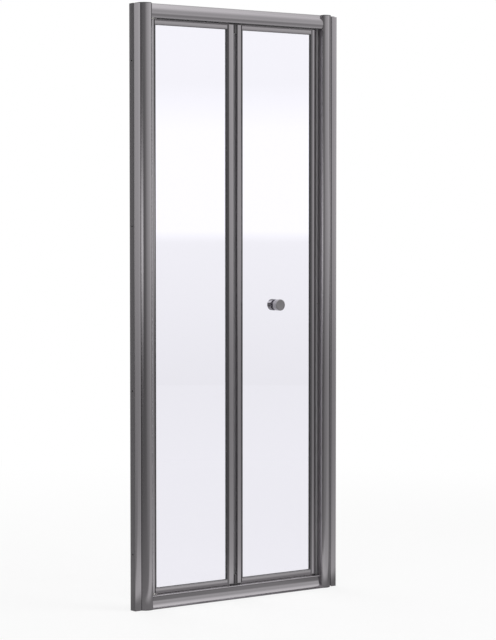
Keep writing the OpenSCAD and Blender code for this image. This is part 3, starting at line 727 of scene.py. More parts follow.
@dataclass(frozen=True)
class DrawnMetal(Finish):
    """Polished and tinted aluminium bar with faint lines along its length."""

    name: str
    colour: Colour
    roughness: float
    grain: Grain
    line_depth: float = 0.012
    line_change: float = 0.05
    cloud_scale: Spot = (5.0, 5.0, 2.2)
    cloud_change: float = 0.03
    shades: Point = (0.94, 1.05)

    def shade(self, tree: Tree) -> Value:
        """Builds the metal with its lines and slight clouding.

        Args:
            tree: The material's nodes.

        Returns:
            The shader.
        """
        lines = tree.noise(self.grain.value, 4.0, 0.6)
        clouds = tree.noise(self.cloud_scale, 2.0)
        rough = self.roughness + (lines - 0.5) * self.line_change
        return tree.node("ShaderNodeBsdfPrincipled", inputs={
            "Base Color": self.tinted(tree, lines * 0.5 + clouds * 0.5),
            "Metallic": 1.0, "Roughness": rough + (clouds - 0.5) * self.cloud_change,
            "Normal": tree.bump(lines, 0.25, self.line_depth)})


@dataclass(frozen=True)
class TurnedMetal(Finish):
    """Turned metal with fine rings about a Y axis through a centre."""

    name: str
    colour: Colour
    roughness: float
    centre: Spot
    ring_scale: float = 2600.0
    ring_depth: float = 0.01
    ring_change: float = 0.05
    cloud_scale: Spot = (60.0, 60.0, 60.0)
    shades: Point = (0.93, 1.06)

    def shade(self, tree: Tree) -> Value:
        """Builds the metal with its rings.

        Args:
            tree: The material's nodes.

        Returns:
            The shader.
        """
        place = tree.node("ShaderNodeTexCoord", output="Object")
        middle = tuple(-c * MM for c in self.centre)
        parts = tree.parts(tree.node("ShaderNodeMapping",
                                     inputs={"Vector": place, "Location": middle}))
        away = (parts["X"] ** 2.0 + parts["Z"] ** 2.0) ** 0.5
        line = tree.node("ShaderNodeCombineXYZ", inputs={"X": away, "Y": parts["Y"]})
        rings = tree.node("ShaderNodeTexNoise", inputs={
            "Vector": line, "Scale": self.ring_scale, "Detail": 3.0, "Roughness": 0.6})
        clouds = tree.noise(self.cloud_scale, 2.0)
        return tree.node("ShaderNodeBsdfPrincipled", inputs={
            "Base Color": self.tinted(tree, clouds), "Metallic": 1.0,
            "Roughness": self.roughness + (rings - 0.5) * self.ring_change,
            "Normal": tree.bump(rings, 0.12, self.ring_depth)})


@dataclass(frozen=True)
class Moulded(Finish):
    """Moulded plastic or rubber: a fine grain, soft clouds and a slight change of shade."""

    name: str
    colour: Colour
    roughness: float
    grain: float = 500.0
    depth: float = 0.02
    cloud_scale: Spot = (14.0, 14.0, 5.0)
    cloud_change: float = 0.12
    shades: Point = (0.85, 1.18)

    def shade(self, tree: Tree) -> Value:
        """Builds the plastic with its grain.

        Args:
            tree: The material's nodes.

        Returns:
            The shader.
        """
        grain = tree.noise((self.grain,) * 3, 2.0)
        clouds = tree.noise(self.cloud_scale, 3.0)
        return tree.node("ShaderNodeBsdfPrincipled", inputs={
            "Base Color": self.tinted(tree, clouds),
            "Roughness": self.roughness + (clouds - 0.5) * self.cloud_change,
            "Normal": tree.bump(grain, 0.35, self.depth)})


@dataclass(frozen=True)
class ClearSolid(Finish):
    """Clear glass or vinyl with a slight tint and faint unevenness."""

    name: str
    colour: Colour
    roughness: float
    ior: float = 1.5
    film_scale: Spot = (3.0, 3.0, 2.0)
    shades: Point = (0.996, 1.0)

    def shade(self, tree: Tree) -> Value:
        """Builds the clear solid.

        Args:
            tree: The material's nodes.

        Returns:
            The shader.
        """
        film = tree.noise(self.film_scale, 2.0)
        return tree.node("ShaderNodeBsdfPrincipled", inputs={
            "Base Color": self.tinted(tree, film),
            "Roughness": self.roughness + (film - 0.5) * self.roughness,
            "IOR": self.ior, "Transmission Weight": 1.0})


DARK_NICKEL: Colour = (0.36, 0.343, 0.36)
UPRIGHT_BAR = DrawnMetal("dark_nickel_upright", DARK_NICKEL, 0.10, Grain.UPRIGHT)
LEVEL_BAR = DrawnMetal("dark_nickel_level", DARK_NICKEL, 0.10, Grain.LEVEL)
MILL_BAR = DrawnMetal("mill_nickel", (0.26, 0.248, 0.26), 0.42, Grain.UPRIGHT)
MILL_SIDE = DrawnMetal("mill_side", (0.42, 0.4, 0.42), 0.45, Grain.UPRIGHT)
# A darker metal for the bevels of the stiles with the glass to their left: painted shade for the dark
# reflection on those slopes
BEVEL_PAINTED_SHADE = DrawnMetal("painted_shade_bevel", (0.18, 0.172, 0.18), 0.2, Grain.UPRIGHT)
FOILED_VINYL = DrawnMetal("foiled_vinyl", DARK_NICKEL, 0.14, Grain.LEVEL)
LINK_METAL = DrawnMetal("dark_nickel_cast", (0.12, 0.115, 0.12), 0.3, Grain.NONE)
STAINLESS = DrawnMetal("stainless_steel", (0.62, 0.61, 0.6), 0.2, Grain.NONE)
DARK_PLASTIC = Moulded("dark_plastic", (0.045, 0.045, 0.05), 0.42, 420.0, 0.03)
ACETAL = Moulded("white_acetal", (0.78, 0.77, 0.73), 0.35, 300.0, 0.02)
SEAL_RUBBER = Moulded("seal_rubber", (0.035, 0.034, 0.037), 0.45)
LIP_RUBBER = Moulded("lip_rubber", (0.19, 0.185, 0.194), 0.5)
# Grey for the top seal's fin: the fin is real, its darker grey is painted shade for the gap under the
# head rail
TOP_FIN_PAINTED_SHADE = Moulded("top_fin_painted_shade", (0.19, 0.187, 0.195), 0.5)
MAGNET_STRIP = Moulded("magnet_strip", (0.3, 0.294, 0.305), 0.38, depth=0.015)
CLEAR_VINYL = ClearSolid("clear_vinyl", (0.9, 0.91, 0.92), 0.12)
CLEAR_GLASS = ClearSolid("clear_glass", (0.93, 0.92, 0.985), 0.0)


# ---- The wall frame ----

@dataclass
class WallFrame:
    """The fixed frame: wall channels, posts, head rail, sill, their seals and small parts."""

    half_width: float = 395.0
    height: float = 1850.0
    # The posts' faces towards the leaves, and the rear of all bars
    inner_x: float = 336.5
    rear_y: float = 14.0
    # Wall channels: how far their flanges reach from the wall, at the left and at the right
    channel_reach: Point = (21.8, 20.0)
    channel_front: float = -26.0
    channel_height: float = 1846.0
    channel_wall: float = 1.6
    channel_edge: float = 0.5
    wall_screw_bore: float = 5.2
    wall_screw_step: float = 500.0
    adjuster_bore: float = 3.5
    adjuster_x: float = -379.1
    adjuster_inset: float = 120.0
    bore_length: float = 8.0
    # Posts: the end caps' thickness, the round front, and the nose that overlaps the leaves
    cap: float = 2.0
    post_wall: float = 1.6
    post_radius: float = 25.0
    post_edge: float = 11.0
    nose: float = 5.0
    nose_rear: float = -9.5
    nose_side: float = 1.2
    crown: Point = (-348.5, -13.0)
    post_side: float = -370.0
    inner_edge: float = 4.0
    # The tongue's legs: how near they come to the wall, and their inner and outer faces
    tongue_gap: float = 8.0
    tongue: Point = (9.5, 11.0)
    # Head rail and sill: their walls, the head rail's round front and the sill's hollow one
    rail_wall: float = 1.8
    head_z: float = 1806.0
    head_radius: float = 34.0
    head_centre: Point = (2.0, 1820.0)
    # Half the width and the depth of the track in the head rail and of the one in the sill
    roller_track: Point = (6.3, 18.0)
    shoe_track: Point = (5.0, 19.0)
    sill_height: float = 41.0
    sill_toe: float = -35.0
    cove_centre: Point = (-46.9, 25.0)
    cove_radius: float = 24.88
    cove_top: float = 36.34
    bead_centre: Point = (-23.5, 38.5)
    # Where the bead's rounding starts, from its middle
    bead_start: Point = (-1.251, -2.16)
    # How far the sill falls to its rear, and how high the chamber under that is, front and rear
    rear_fall: float = 7.0
    rear_chamber_top: Point = (38.3, 33.1)
    # The closing strip, and the pivot seal's fin
    strip_width: float = 7.2
    strip_y: Point = (-5.5, 3.5)
    strip_bore: float = 2.5
    strip_bore_depth: float = 7.0
    fin_reach: float = 9.0
    fin_y: Point = (-7.0, -4.5)
    # Screws from posts to rails: their places, their bore, and the openings for their heads
    port_y: Point = (-9.9, 8.4)
    port_z: Point = (6.5, 1843.5)
    port_bore: float = 3.9
    port_head: float = 8.0
    port_floor: float = 3.2
    port_length: float = 56.0
    run_gap: float = 0.3

    def build(self) -> None:
        """Builds every piece of the frame."""
        self.channels()
        self.posts()
        self.head_rail()
        self.sill()
        self.strips()
        self.small_parts()

    def channel(self, reach: float) -> Piece:
        """Builds a wall channel: a U section with holes for the wall and adjusting screws.

        Args:
            reach: How far its flanges reach from the wall.

        Returns:
            The channel, drawn at the left post.
        """
        x0, x1 = -self.half_width, -self.half_width + reach
        y0, y1, wall = self.channel_front, 0.0, self.channel_wall
        edge, inner = self.channel_edge, CHAMBER_EDGE
        section = rounded([(x0, y0, edge), (x1, y0, edge), (x1, y0 + wall, edge),
                           (x0 + wall, y0 + wall, inner), (x0 + wall, y1 - wall, inner),
                           (x1, y1 - wall, edge), (x1, y1, edge), (x0, y1, edge)], 3)
        bar = Bench.extrusion([section], Plane.UPRIGHT, 0.0, self.channel_height)
        middle, bore = self.channel_height / 2, self.bore_length
        cuts = [Bench.rod((x0, (y0 + y1) / 2, middle + self.wall_screw_step * (i - 1.5)),
                          self.wall_screw_bore, bore, "X") for i in range(4)]
        cuts += [Bench.rod((self.adjuster_x, y1, z), self.adjuster_bore, bore, "Y") for z in (
            self.adjuster_inset, middle, self.channel_height - self.adjuster_inset)]
        return Bench.work(bar, cuts)

    def channels(self) -> None:
        """Builds both wall channels, with a mill finish on the faces at the walls."""
        left, spare = (self.channel(reach) for reach in self.channel_reach)
        right = Bench.mirrored(spare, 0, 0.0)
        bpy.data.meshes.remove(spare.data)
        for side, piece in (("left", left), ("right", right)):
            Bench.place(piece, f"wall_channel_bar_{side}", "frame", UPRIGHT_BAR,
                        (f"wall_channel_{side}",), "dark_nickel")
            Bench.refinish(piece, MILL_BAR, lambda owned: all(
                abs(p.x) > self.half_width - NEAR for p in owned))

    def post_section(self) -> list[Loop]:
        """Draws the left post: a rounded front, the tongue in the wall channel, two chambers.

        Returns:
            The outline and the chambers.
        """
        face, nose_x, wall = -self.inner_x, -self.inner_x + self.nose, self.post_wall
        crown, inside = (Circle(self.crown, self.post_radius - less) for less in (0.0, wall))
        edge_mid, lean = crown.corner(nose_x, self.post_edge)
        inner, outer = self.tongue
        legs = [crown.left(self.crown[1] + dy) for dy in (-outer, -inner, inner, outer)]
        across = self.post_side - self.crown[0]
        last = crown.left(self.crown[1] + math.sqrt(crown.radius ** 2 - across ** 2))
        outline = Loop((face, self.rear_y)).run(
            (face, self.nose_rear), (nose_x, self.nose_rear), (nose_x, edge_mid[1]))
        outline.bow(edge_mid, lean, 12).bow(self.crown, legs[0][1] - 360 - lean, 40)
        tongue_x = -self.half_width + self.tongue_gap
        for (low, _), (high, high_angle), (_, onward), runs in (
                (legs[0], legs[1], legs[2], 14), (legs[2], legs[3], last, 2)):
            outline.run((tongue_x, low[1]), (tongue_x, high[1]), high)
            outline.bow(self.crown, onward - high_angle, runs)
        outline.run((self.post_side, self.rear_y))
        _, back_angle = inside.left(-wall)
        inner_mid, inner_lean = inside.corner(face - wall, self.inner_edge)
        front = Loop((face - wall, -wall)).run((face - wall, inner_mid[1]))
        front.bow(inner_mid, inner_lean, 4).bow(self.crown, back_angle - 360 - inner_lean, 32)
        rear = box_loop(self.post_side + wall, 0.0, face - wall, self.rear_y - wall, 0.5)
        return [outline, front, rear]

    def posts(self) -> None:
        """Builds both posts, with openings and bores for the screws into the rails."""
        left = Bench.extrusion(self.post_section(), Plane.UPRIGHT, self.cap,
                               self.height - self.cap)
        face = -self.inner_x
        head_x = face - self.port_floor - self.port_length / 2
        cuts = []
        for y in self.port_y:
            for z in self.port_z:
                cuts.append(Bench.rod((face, y, z), self.port_bore, self.bore_length, "X", 24))
                cuts.append(Bench.rod((head_x, y, z), self.port_head, self.port_length, "X", 24))
        Bench.work(left, cuts)
        right = Bench.mirrored(left, 0, 0.0)
        for side, piece in (("left", left), ("right", right)):
            Bench.place(piece, f"post_bar_{side}", "frame", UPRIGHT_BAR,
                        (f"post_{side}",), "dark_nickel")
            Bench.refinish(piece, MILL_SIDE, lambda owned: all(
                abs(p.x) < self.inner_x - self.nose + self.nose_side for p in owned))

    def head_rail(self) -> None:
        """Builds the head rail: a rounded front, the roller's track and three chambers."""
        z0, z1, wall = self.head_z, self.height, self.rail_wall
        half, floor = self.roller_track[0], z0 + self.roller_track[1]
        front, inside = (Circle(self.head_centre, self.head_radius - less) for less in (0.0, wall))
        low, low_angle = front.left(z0)
        outline = Loop((self.rear_y, z0)).run((half, z0), (half, floor), (-half, floor), (-half, z0))
        outline.run(low).bow(self.head_centre, front.left(z1)[1] - low_angle, 40)
        outline.run((self.rear_y, z1))
        top, top_angle = inside.left(z1 - wall)
        chamber = Loop((-half - wall, z0 + wall)).run((-half - wall, z1 - wall), top)
        chamber.bow(self.head_centre, inside.left(z0 + wall)[1] - top_angle, 24)
        back, edge = self.rear_y - wall, CHAMBER_EDGE
        rear = box_loop(half + wall, z0 + wall, back, floor, edge)
        upper = box_loop(-half, floor + wall, back, z1 - wall, edge)
        bar = Bench.extrusion([outline, chamber, rear, upper], Plane.LEVEL,
                              -self.inner_x, self.inner_x)
        Bench.place(bar, "head_rail_bar", "frame", LEVEL_BAR, ("head_rail",), "dark_nickel")

    def sill(self) -> None:
        """Builds the sill: a hollow front, a beaded top edge, the shoe's track and chambers."""
        wall, top, toe = self.rail_wall, self.sill_height, self.sill_toe
        half, floor = self.shoe_track[0], top - self.shoe_track[1]
        cove, inside = (Circle(self.cove_centre, self.cove_radius + more) for more in (0.0, wall))
        cove_y, cove_z = cove.centre
        toe_at, toe_angle = cove.under(toe)
        meet = math.degrees(math.asin((self.cove_top - cove_z) / cove.radius))
        (bead_y, bead_z), (start_y, start_z) = self.bead_centre, self.bead_start
        start = math.degrees(math.atan2(start_z, start_y))
        outline = Loop((self.rear_y, 0.0)).run((toe, 0.0), toe_at)
        outline.bow(cove.centre, meet - toe_angle, 32)
        outline.run((bead_y + start_y, bead_z + start_z))
        outline.bow(self.bead_centre, -270 - start, 12)
        outline.run((-half, top), (-half, floor), (half, floor), (half, top), (half + wall, top),
                    (self.rear_y, top - self.rear_fall))
        inner_top = math.asin((top - wall - cove_z) / inside.radius)
        chamber = Loop((toe + wall, wall)).run(
            (-half - wall, wall), (-half - wall, top - wall),
            (cove_y + inside.radius * math.cos(inner_top), top - wall))
        chamber.bow(cove.centre, inside.under(toe + wall)[1] - math.degrees(inner_top), 20)
        back, edge = self.rear_y - wall, CHAMBER_EDGE
        under = box_loop(-half, wall, back, floor - wall, edge)
        y0, (high, low) = half + wall, self.rear_chamber_top
        rear = rounded([(y0, floor, edge), (back, floor, edge), (back, low, edge),
                        (y0, high, edge)])
        bar = Bench.extrusion([outline, chamber, under, rear], Plane.LEVEL,
                              -self.inner_x, self.inner_x)
        Bench.place(bar, "sill_bar", "frame", LEVEL_BAR, ("sill",), "dark_nickel")

    def strips(self) -> None:
        """Builds the closing strip on the right post and the seal on the left post."""
        z0, z1 = self.sill_height + self.run_gap, self.head_z - self.run_gap
        x1, (y0, y1) = self.inner_x, self.strip_y
        x0 = x1 - self.strip_width
        section = rounded([(x0, y0, 1.5), (x1, y0, 0.2), (x1, y1, 0.2), (x0, y1, 0.6)], 5)
        strip = Bench.extrusion([section], Plane.UPRIGHT, z0, z1)
        Bench.work(strip, [Bench.rod((x1 - self.strip_width / 2, y0, KNOB_Z),
                                     self.strip_bore, 2 * self.strip_bore_depth, "Y", 20)])
        Bench.place(strip, "post_closing_strip", "frame", MAGNET_STRIP,
                    ("post_magnet_strip",), "magnet_strip")
        (y0, y1), radius = self.fin_y, (self.fin_y[1] - self.fin_y[0]) / 2
        tip = -self.inner_x + self.fin_reach - radius
        fin = Loop((-self.inner_x, y0)).run((tip, y0))
        fin.bow((tip, y0 + radius), 180, 10).run((-self.inner_x, y1))
        seal = Bench.extrusion([fin], Plane.UPRIGHT, z0, z1)
        Bench.place(seal, "post_pivot_seal", "frame", SEAL_RUBBER, ("pivot_seal",), "seal_rubber")

    def small_parts(self) -> None:
        """Gives the small parts that keep their CAD form their finishes."""
        dress({"post_caps_left": DARK_PLASTIC, "post_caps_right": DARK_PLASTIC,
               "adjusting_screws": STAINLESS, "adjusting_screw_covers": DARK_PLASTIC,
               "frame_corner_screws": STAINLESS, "pivot_block_top": ACETAL,
               "pivot_block_bottom": ACETAL, "pivot_block_screws": STAINLESS,
               "strip_screw": STAINLESS})


def dress(finishes: dict[str, Finish]) -> None:
    """Gives CAD nodes that stay in view their finishes.

    Args:
        finishes: The finish of each node, by the node's name.
    """
    for node, finish in finishes.items():
        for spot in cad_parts[node].material_slots:
            spot.material = finish.material()
        log.info("%s: %s", node, finish.name)


# ---- The leaves ----

@dataclass(frozen=True)
class Stile:
    """The form of one stile: its CAD node and its own sizes."""

    node: str
    # Its outer edge, the width of its flat face, and 1 where the glass is to its right, or -1
    x: float
    face: float
    side: int
    # The radius of its outer edges, and the width of the bevel between face and glass
    edge: float = 1.5
    bevel: float = 5.5
    # How far the face falls towards the glass, and the rounding where the bevel starts
    fall: float = 0.0
    face_round: float = 0.8


@dataclass
class Leaf:
    """One leaf: two stiles, two rails, the pane and its seals."""

    mark: str
    body: str
    left: Stile
    right: Stile
    # 1 where the soft lip stands on the right stile, or -1
    lip_side: int
    bottom: float = 45.0
    top: float = 1802.0
    thickness: float = 14.0
    # Half the stiles' thickness where the bevel ends, and how far the roundings there reach
    bevel_edge: float = 4.6
    bevel_slack: Point = (0.2, 0.3)
    stile_wall: float = 1.5
    # The glass pocket, and the openings at the stiles' ends that take the plugs
    pocket: float = 7.0
    pocket_half: float = 3.5
    plug: float = 24.1
    plug_lip: float = 1.0
    rail_height: float = 14.5
    rail_half: float = 5.0
    rail_wall: float = 1.4
    # The bores for the screws that hold the plugs
    screw_bore: float = 3.0
    screw_depth: float = 2.5
    screw_inset: float = 12.0
    screw_rise: float = 5.25
    glass_edge: float = 0.6
    embed: float = 6.2
    # Glazing seal: how far its strip and its lip stand off the glass, and the lip's form
    seal: float = 1.0
    lip: float = 1.8
    lip_overlap: float = 0.2
    lip_round: float = 0.7
    lip_corner: float = 0.8
    # How much of the seal shows at the stiles and at the rails
    show: Point = (3.5, 1.0)
    # Front and rear of the drip seal's foot and of its fin, and how far from the rail the foot,
    # its front edge and the fin reach
    drip_foot: Point = (-4.6, 4.0)
    drip_fin: Point = (-4.0, -2.4)
    drip_reach: Spot = (1.5, 1.6, 3.4)
    drip_inset: float = 2.0
    # How far above its foot's front edge the top seal's fin is painted darker, as painted shade for
    # the gap under the head rail
    drip_shade_above: float = 0.1
    # The soft lip in the middle gap
    fold_width: float = 6.8
    fold_thick: float = 2.5
    fold_y: float = 2.8
    fold_inset: float = 27.6
    # The knob's hole, where the pane has one
    hole_x: float | None = None
    hole: float = 12.0

    @property
    def rail_x0(self) -> float:
        """Where the rails and the visible pane start."""
        return self.left.x + self.left.face + self.left.bevel

    @property
    def rail_x1(self) -> float:
        """Where the rails and the visible pane end."""
        return self.right.x - self.right.face - self.right.bevel

    @property
    def glass_z0(self) -> float:
        """The lower edge of the visible pane."""
        return self.bottom + self.rail_height

    @property
    def glass_z1(self) -> float:
        """The upper edge of the visible pane."""
        return self.top - self.rail_height

    def build(self) -> None:
        """Builds every piece of the leaf."""
        self.stile(self.left)
        self.stile(self.right)
        self.rails()
        self.pane()
        self.glazing_seal()
        self.drip_seal()
        self.fold_lip()

    def stile(self, form: Stile) -> None:
        """Builds a stile: a flat face, a bevel towards the glass, a chamber and a pocket; where the
        glass lies to its left, the bevel gets painted shade.

        Args:
            form: Its place and its own sizes.
        """
        x, face, side = form.x, form.face, form.side
        total, half, wall = face + form.bevel, self.thickness / 2, self.stile_wall
        soft, floor = form.face_round, total - self.pocket
        near, deep = self.bevel_edge, self.pocket_half

        def spot(u: float, v: float, r: float) -> Spot:
            """Returns a corner with u measured from the stile's outer edge."""
            return x + side * u, v, r

        section = rounded([
            spot(0, -half, form.edge), spot(face, form.fall - half, soft),
            spot(total, -near, 0.3), spot(total, -deep, 0.2), spot(floor, -deep, 0.0),
            spot(floor, deep, 0.0), spot(total, deep, 0.2), spot(total, near, 0.3),
            spot(face, half - form.fall, soft), spot(0, half, form.edge)], 5)
        u0, u1 = sorted((x + side * wall, x + side * (floor - wall)))
        chamber = box_loop(u0, -half + wall, u1, half - wall, max(CHAMBER_EDGE, form.edge - wall))
        piece = Bench.extrusion([section, chamber], Plane.UPRIGHT, self.bottom, self.top)
        u0, u1 = sorted((x + side * wall, x + side * (total - self.plug_lip)))
        ends = ((self.bottom - OVER, self.bottom + self.plug),
                (self.top - self.plug, self.top + OVER))
        Bench.work(piece, [Bench.block((u0, -deep, z0), (u1, deep, z1)) for z0, z1 in ends])
        Bench.place(piece, form.node + "_bar", self.body, UPRIGHT_BAR, (form.node,),
                    "dark_nickel")
        # The bevel towards the glass is painted darker here: painted shade standing in for the dark
        # reflection on that slope
        if side < 0:
            slack_x, slack_y = self.bevel_slack
            Bench.refinish(piece, BEVEL_PAINTED_SHADE, lambda owned: all(
                x - total - slack_x < p.x < x - face + slack_x and abs(p.y) > near - slack_y
                for p in owned))

    def rails(self) -> None:
        """Builds the bottom rail and its mirrored copy at the top."""
        z0, z1, half, deep = self.bottom, self.glass_z0, self.rail_half, self.pocket_half
        floor, wall = z1 - self.pocket, self.rail_wall
        section = rounded([(-half, z0, 0.5), (half, z0, 0.5), (half, z1, 0.6), (deep, z1, 0.2),
                           (deep, floor, 0.0), (-deep, floor, 0.0), (-deep, z1, 0.2),
                           (-half, z1, 0.6)], 4)
        chamber = box_loop(-half + wall, z0 + wall, half - wall, floor - wall, 0.3)
        bottom = Bench.extrusion([section, chamber], Plane.LEVEL, self.rail_x0, self.rail_x1)
        Bench.work(bottom, [
            Bench.rod((x, half, z0 + self.screw_rise), self.screw_bore, 2 * self.screw_depth, "Y", 20)
            for x in (self.rail_x0 + self.screw_inset, self.rail_x1 - self.screw_inset)])
        top = Bench.mirrored(bottom, 2, (self.bottom + self.top) / 2)
        for name, piece in (("bottom_rail", bottom), ("top_rail", top)):
            Bench.place(piece, f"{name}_{self.mark}_bar", self.body, LEVEL_BAR,
                        (f"{name}_{self.mark}",), "dark_nickel")

    def pane(self) -> None:
        """Builds the pane with ground edges, and the knob's hole where there is one."""
        deep = self.embed
        piece = Bench.block((self.rail_x0 - deep, -PANE / 2, self.glass_z0 - deep),
                            (self.rail_x1 + deep, PANE / 2, self.glass_z1 + deep))
        Bench.bevel(piece, self.glass_edge, 1)
        if self.hole_x is not None:
            Bench.work(piece, [Bench.rod((self.hole_x, 0, KNOB_Z), self.hole, 3 * PANE, "Y", 64)])
        Bench.place(piece, f"pane_{self.mark}", self.body, CLEAR_GLASS,
                    (f"glass_{self.mark}",), "clear_glass", 20.0)
        piece.visible_shadow = False

    def ring(self, grow: float, side: float, end: float, y0: float, y1: float) -> Piece:
        """Makes a rectangular ring round the visible pane.

        Args:
            grow: How far its outer edge lies outside the visible pane.
            side: The width of its upright sides.
            end: The height of its level sides.
            y0: Its front.
            y1: Its rear.

        Returns:
            The ring.
        """
        x0, x1 = self.rail_x0 - grow, self.rail_x1 + grow
        z0, z1 = self.glass_z0 - grow, self.glass_z1 + grow
        opening = box_loop(x0 + side, z0 + end, x1 - side, z1 - end, self.lip_corner)
        return Bench.extrusion([box_loop(x0, z0, x1, z1), opening], Plane.FACING, y0, y1)

    def glazing_seal(self) -> None:
        """Builds the glazing seal of each face: a strip in the pocket and a rounded lip."""
        inner, deep = PANE / 2, self.embed
        side, end = self.show
        rear = self.ring(deep, deep + side, deep + end, inner, inner + self.seal)
        lip = self.ring(0.0, side, end, inner + self.seal - self.lip_overlap, inner + self.lip)
        Bench.edit(lip, "EDGE")
        # The opening's front edges, which lie further in than the outer ones
        x0, x1 = self.rail_x0 + side / 2, self.rail_x1 - side / 2
        Bench.pick(lip, lambda owned: all(p.y > inner + self.lip - NEAR and x0 < p.x < x1
                                          for p in owned), "EDGE")
        bpy.ops.mesh.bevel(offset=self.lip_round * MM, segments=4, affect="EDGES")
        Bench.clear()
        Bench.work(rear, [lip], "UNION")
        Bench.join(rear, Bench.mirrored(rear, 1, 0.0))
        Bench.place(rear, f"glazing_gasket_{self.mark}", self.body, SEAL_RUBBER,
                    (f"glazing_seal_{self.mark}",), "seal_rubber")

    def drip_seal(self) -> None:
        """Builds the drip seal under the leaf and the top seal: a foot and a foiled fin each, with
        the top fin painted darker as shade under the head rail.
        """
        (foot_y, foot_rear), (fin_y, fin_rear) = self.drip_foot, self.drip_fin
        strips = []
        for rail, way in ((self.bottom, -1), (self.top, 1)):
            foot, front, tip = (rail + way * reach for reach in self.drip_reach)
            section = rounded([(foot_y, rail, 0.0), (foot_y, front, 0.2),
                               (fin_y, front + way * 0.2, 0.0), (fin_y, tip, 0.6),
                               (fin_rear, tip, 0.6), (fin_rear, foot, 0.3),
                               (foot_rear, foot, 0.5), (foot_rear, rail, 0.2)])
            strips.append(Bench.extrusion([section], Plane.LEVEL, self.left.x + self.drip_inset,
                                          self.right.x - self.drip_inset))
        piece, upper = strips
        Bench.join(piece, upper)
        Bench.place(piece, f"drip_strip_{self.mark}", self.body, FOILED_VINYL,
                    (f"drip_seal_{self.mark}",), "seal_rubber")
        # The top fin is painted darker: painted shade for the gap under the head rail
        Bench.refinish(piece, TOP_FIN_PAINTED_SHADE, lambda owned: all(
            p.z > self.top + self.drip_reach[1] + self.drip_shade_above for p in owned))

    def fold_lip(self) -> None:
        """Builds the soft lip from the fold stile's edge to the middle of the gap."""
        side, y, radius = self.lip_side, self.fold_y, self.fold_thick / 2
        x = self.right.x if side > 0 else self.left.x
        tip = x + side * (self.fold_width - radius)
        section = Loop((x, y)).run((tip, y))
        section.bow((tip, y + radius), side * 180, 10).run((x, y + self.fold_thick))
        piece = Bench.extrusion([section], Plane.UPRIGHT, self.bottom + self.fold_inset,
                                self.top - self.fold_inset)
        Bench.place(piece, f"fold_gap_lip_{self.mark}", self.body, LIP_RUBBER,
                    (f"fold_lip_{self.mark}",), "seal_rubber")


@dataclass
class PivotLeaf(Leaf):
    """The leaf that turns at the left post."""

    mark: str = "a"
    body: str = "pivot_leaf"
    left: Stile = Stile("pivot_stile", -325.0, 15.0, 1)
    right: Stile = Stile("fold_stile_a", -5.2, 18.8, -1, edge=2.0)
    lip_side: int = 1

    def build(self) -> None:
        """Builds the leaf and dresses its small parts."""
        super().build()
        dress({"pivot_plugs": DARK_PLASTIC, "fold_plugs_a": DARK_PLASTIC,
               "pivot_pin_top": STAINLESS, "pivot_pin_bottom": STAINLESS,
               "corner_screws_a": STAINLESS})


@dataclass
class SlidingLeaf(Leaf):
    """The leaf whose far edge runs along the tracks."""

    mark: str = "b"
    body: str = "sliding_leaf"
    left: Stile = Stile("fold_stile_b", 8.7, 13.8, 1, edge=2.0)
    right: Stile = Stile("closing_stile", 325.0, 13.5, -1, fall=1.42, face_round=0.0)
    lip_side: int = -1
    strip_tip: float = 329.0
    strip_half: float = 3.5

    def __post_init__(self) -> None:
        """Puts the knob's hole in the middle of the visible pane."""
        self.hole_x = (self.rail_x0 + self.rail_x1) / 2

    def build(self) -> None:
        """Builds the leaf with its closing strip and dresses its small parts."""
        super().build()
        x, tip, half = self.right.x, self.strip_tip, self.strip_half
        section = rounded([(x, -half, 0.2), (tip, -half, 1.0), (tip, half, 1.0), (x, half, 0.2)])
        strip = Bench.extrusion([section], Plane.UPRIGHT, self.bottom, self.top)
        Bench.place(strip, "leaf_closing_strip", self.body, MAGNET_STRIP,
                    ("leaf_magnet_strip",), "magnet_strip")
        dress({"fold_plugs_b": DARK_PLASTIC, "closing_plugs": DARK_PLASTIC,
               "roller_axle": STAINLESS, "guide_pin": STAINLESS, "corner_screws_b": STAINLESS})


# ---- Knobs, hinges and runners ----

@dataclass
class Knobs:
    """The pair of round knobs that clamp the glass between them."""

    x: float
    washer: float = 0.8
    reach: float = 22.0
    radius: float = 18.0
    neck_radius: float = 13.5
    neck: float = 3.0
    edge: float = 0.8
    bolt_radius: float = 3.0
    bolt_depth: float = 12.0
    # The shallow dish in the end face: its rim, the rim's slope, its depth there and at the middle
    dish: tuple[float, ...] = (3.0, 0.4, 0.25, 0.4)

    def build(self) -> None:
        """Builds the outer knob and its mirrored twin, and dresses bolt and washers."""
        base, tip = -PANE / 2 - self.washer, -PANE / 2 - self.reach
        r, edge, neck, bolt = self.radius, self.edge, self.neck_radius, self.bolt_radius
        end, shoulder = base - self.bolt_depth, base - self.neck
        rim, slope, fall, deepest = self.dish
        profile = Loop((0.0, end)).run((bolt, end), (bolt, base), (neck, base),
                                       (neck, shoulder), (r - edge, shoulder))
        profile.bow((r - edge, shoulder - edge), -90, 5).run((r, tip + edge))
        profile.bow((r - edge, tip + edge), -90, 5).run(
            (r - rim, tip), (r - rim - slope, tip + fall), (0.0, tip + deepest))
        centre = (self.x, 0.0, KNOB_Z)
        outer = Bench.turned(profile, centre, 128)
        finish = TurnedMetal("knob_nickel", (0.3, 0.29, 0.304), 0.07, centre)
        for side, piece in (("outer", outer), ("inner", Bench.mirrored(outer, 1, 0.0))):
            Bench.place(piece, f"turned_knob_{side}", "sliding_leaf", finish,
                        (f"knob_{side}",), "knob_nickel")
        dress({"knob_bolt": STAINLESS, "knob_washers": CLEAR_VINYL})


@dataclass
class RunningGear:
    """The hinge links with their pins, the roller and the guide shoe."""

    def build(self) -> None:
        """Dresses the links, the pins, the roller and the shoe."""
        dress({"hinge_link_top": LINK_METAL, "hinge_link_bottom": LINK_METAL,
               "hinge_pins_top": STAINLESS, "hinge_pins_bottom": STAINLESS,
               "track_roller": ACETAL, "guide_shoe": ACETAL})


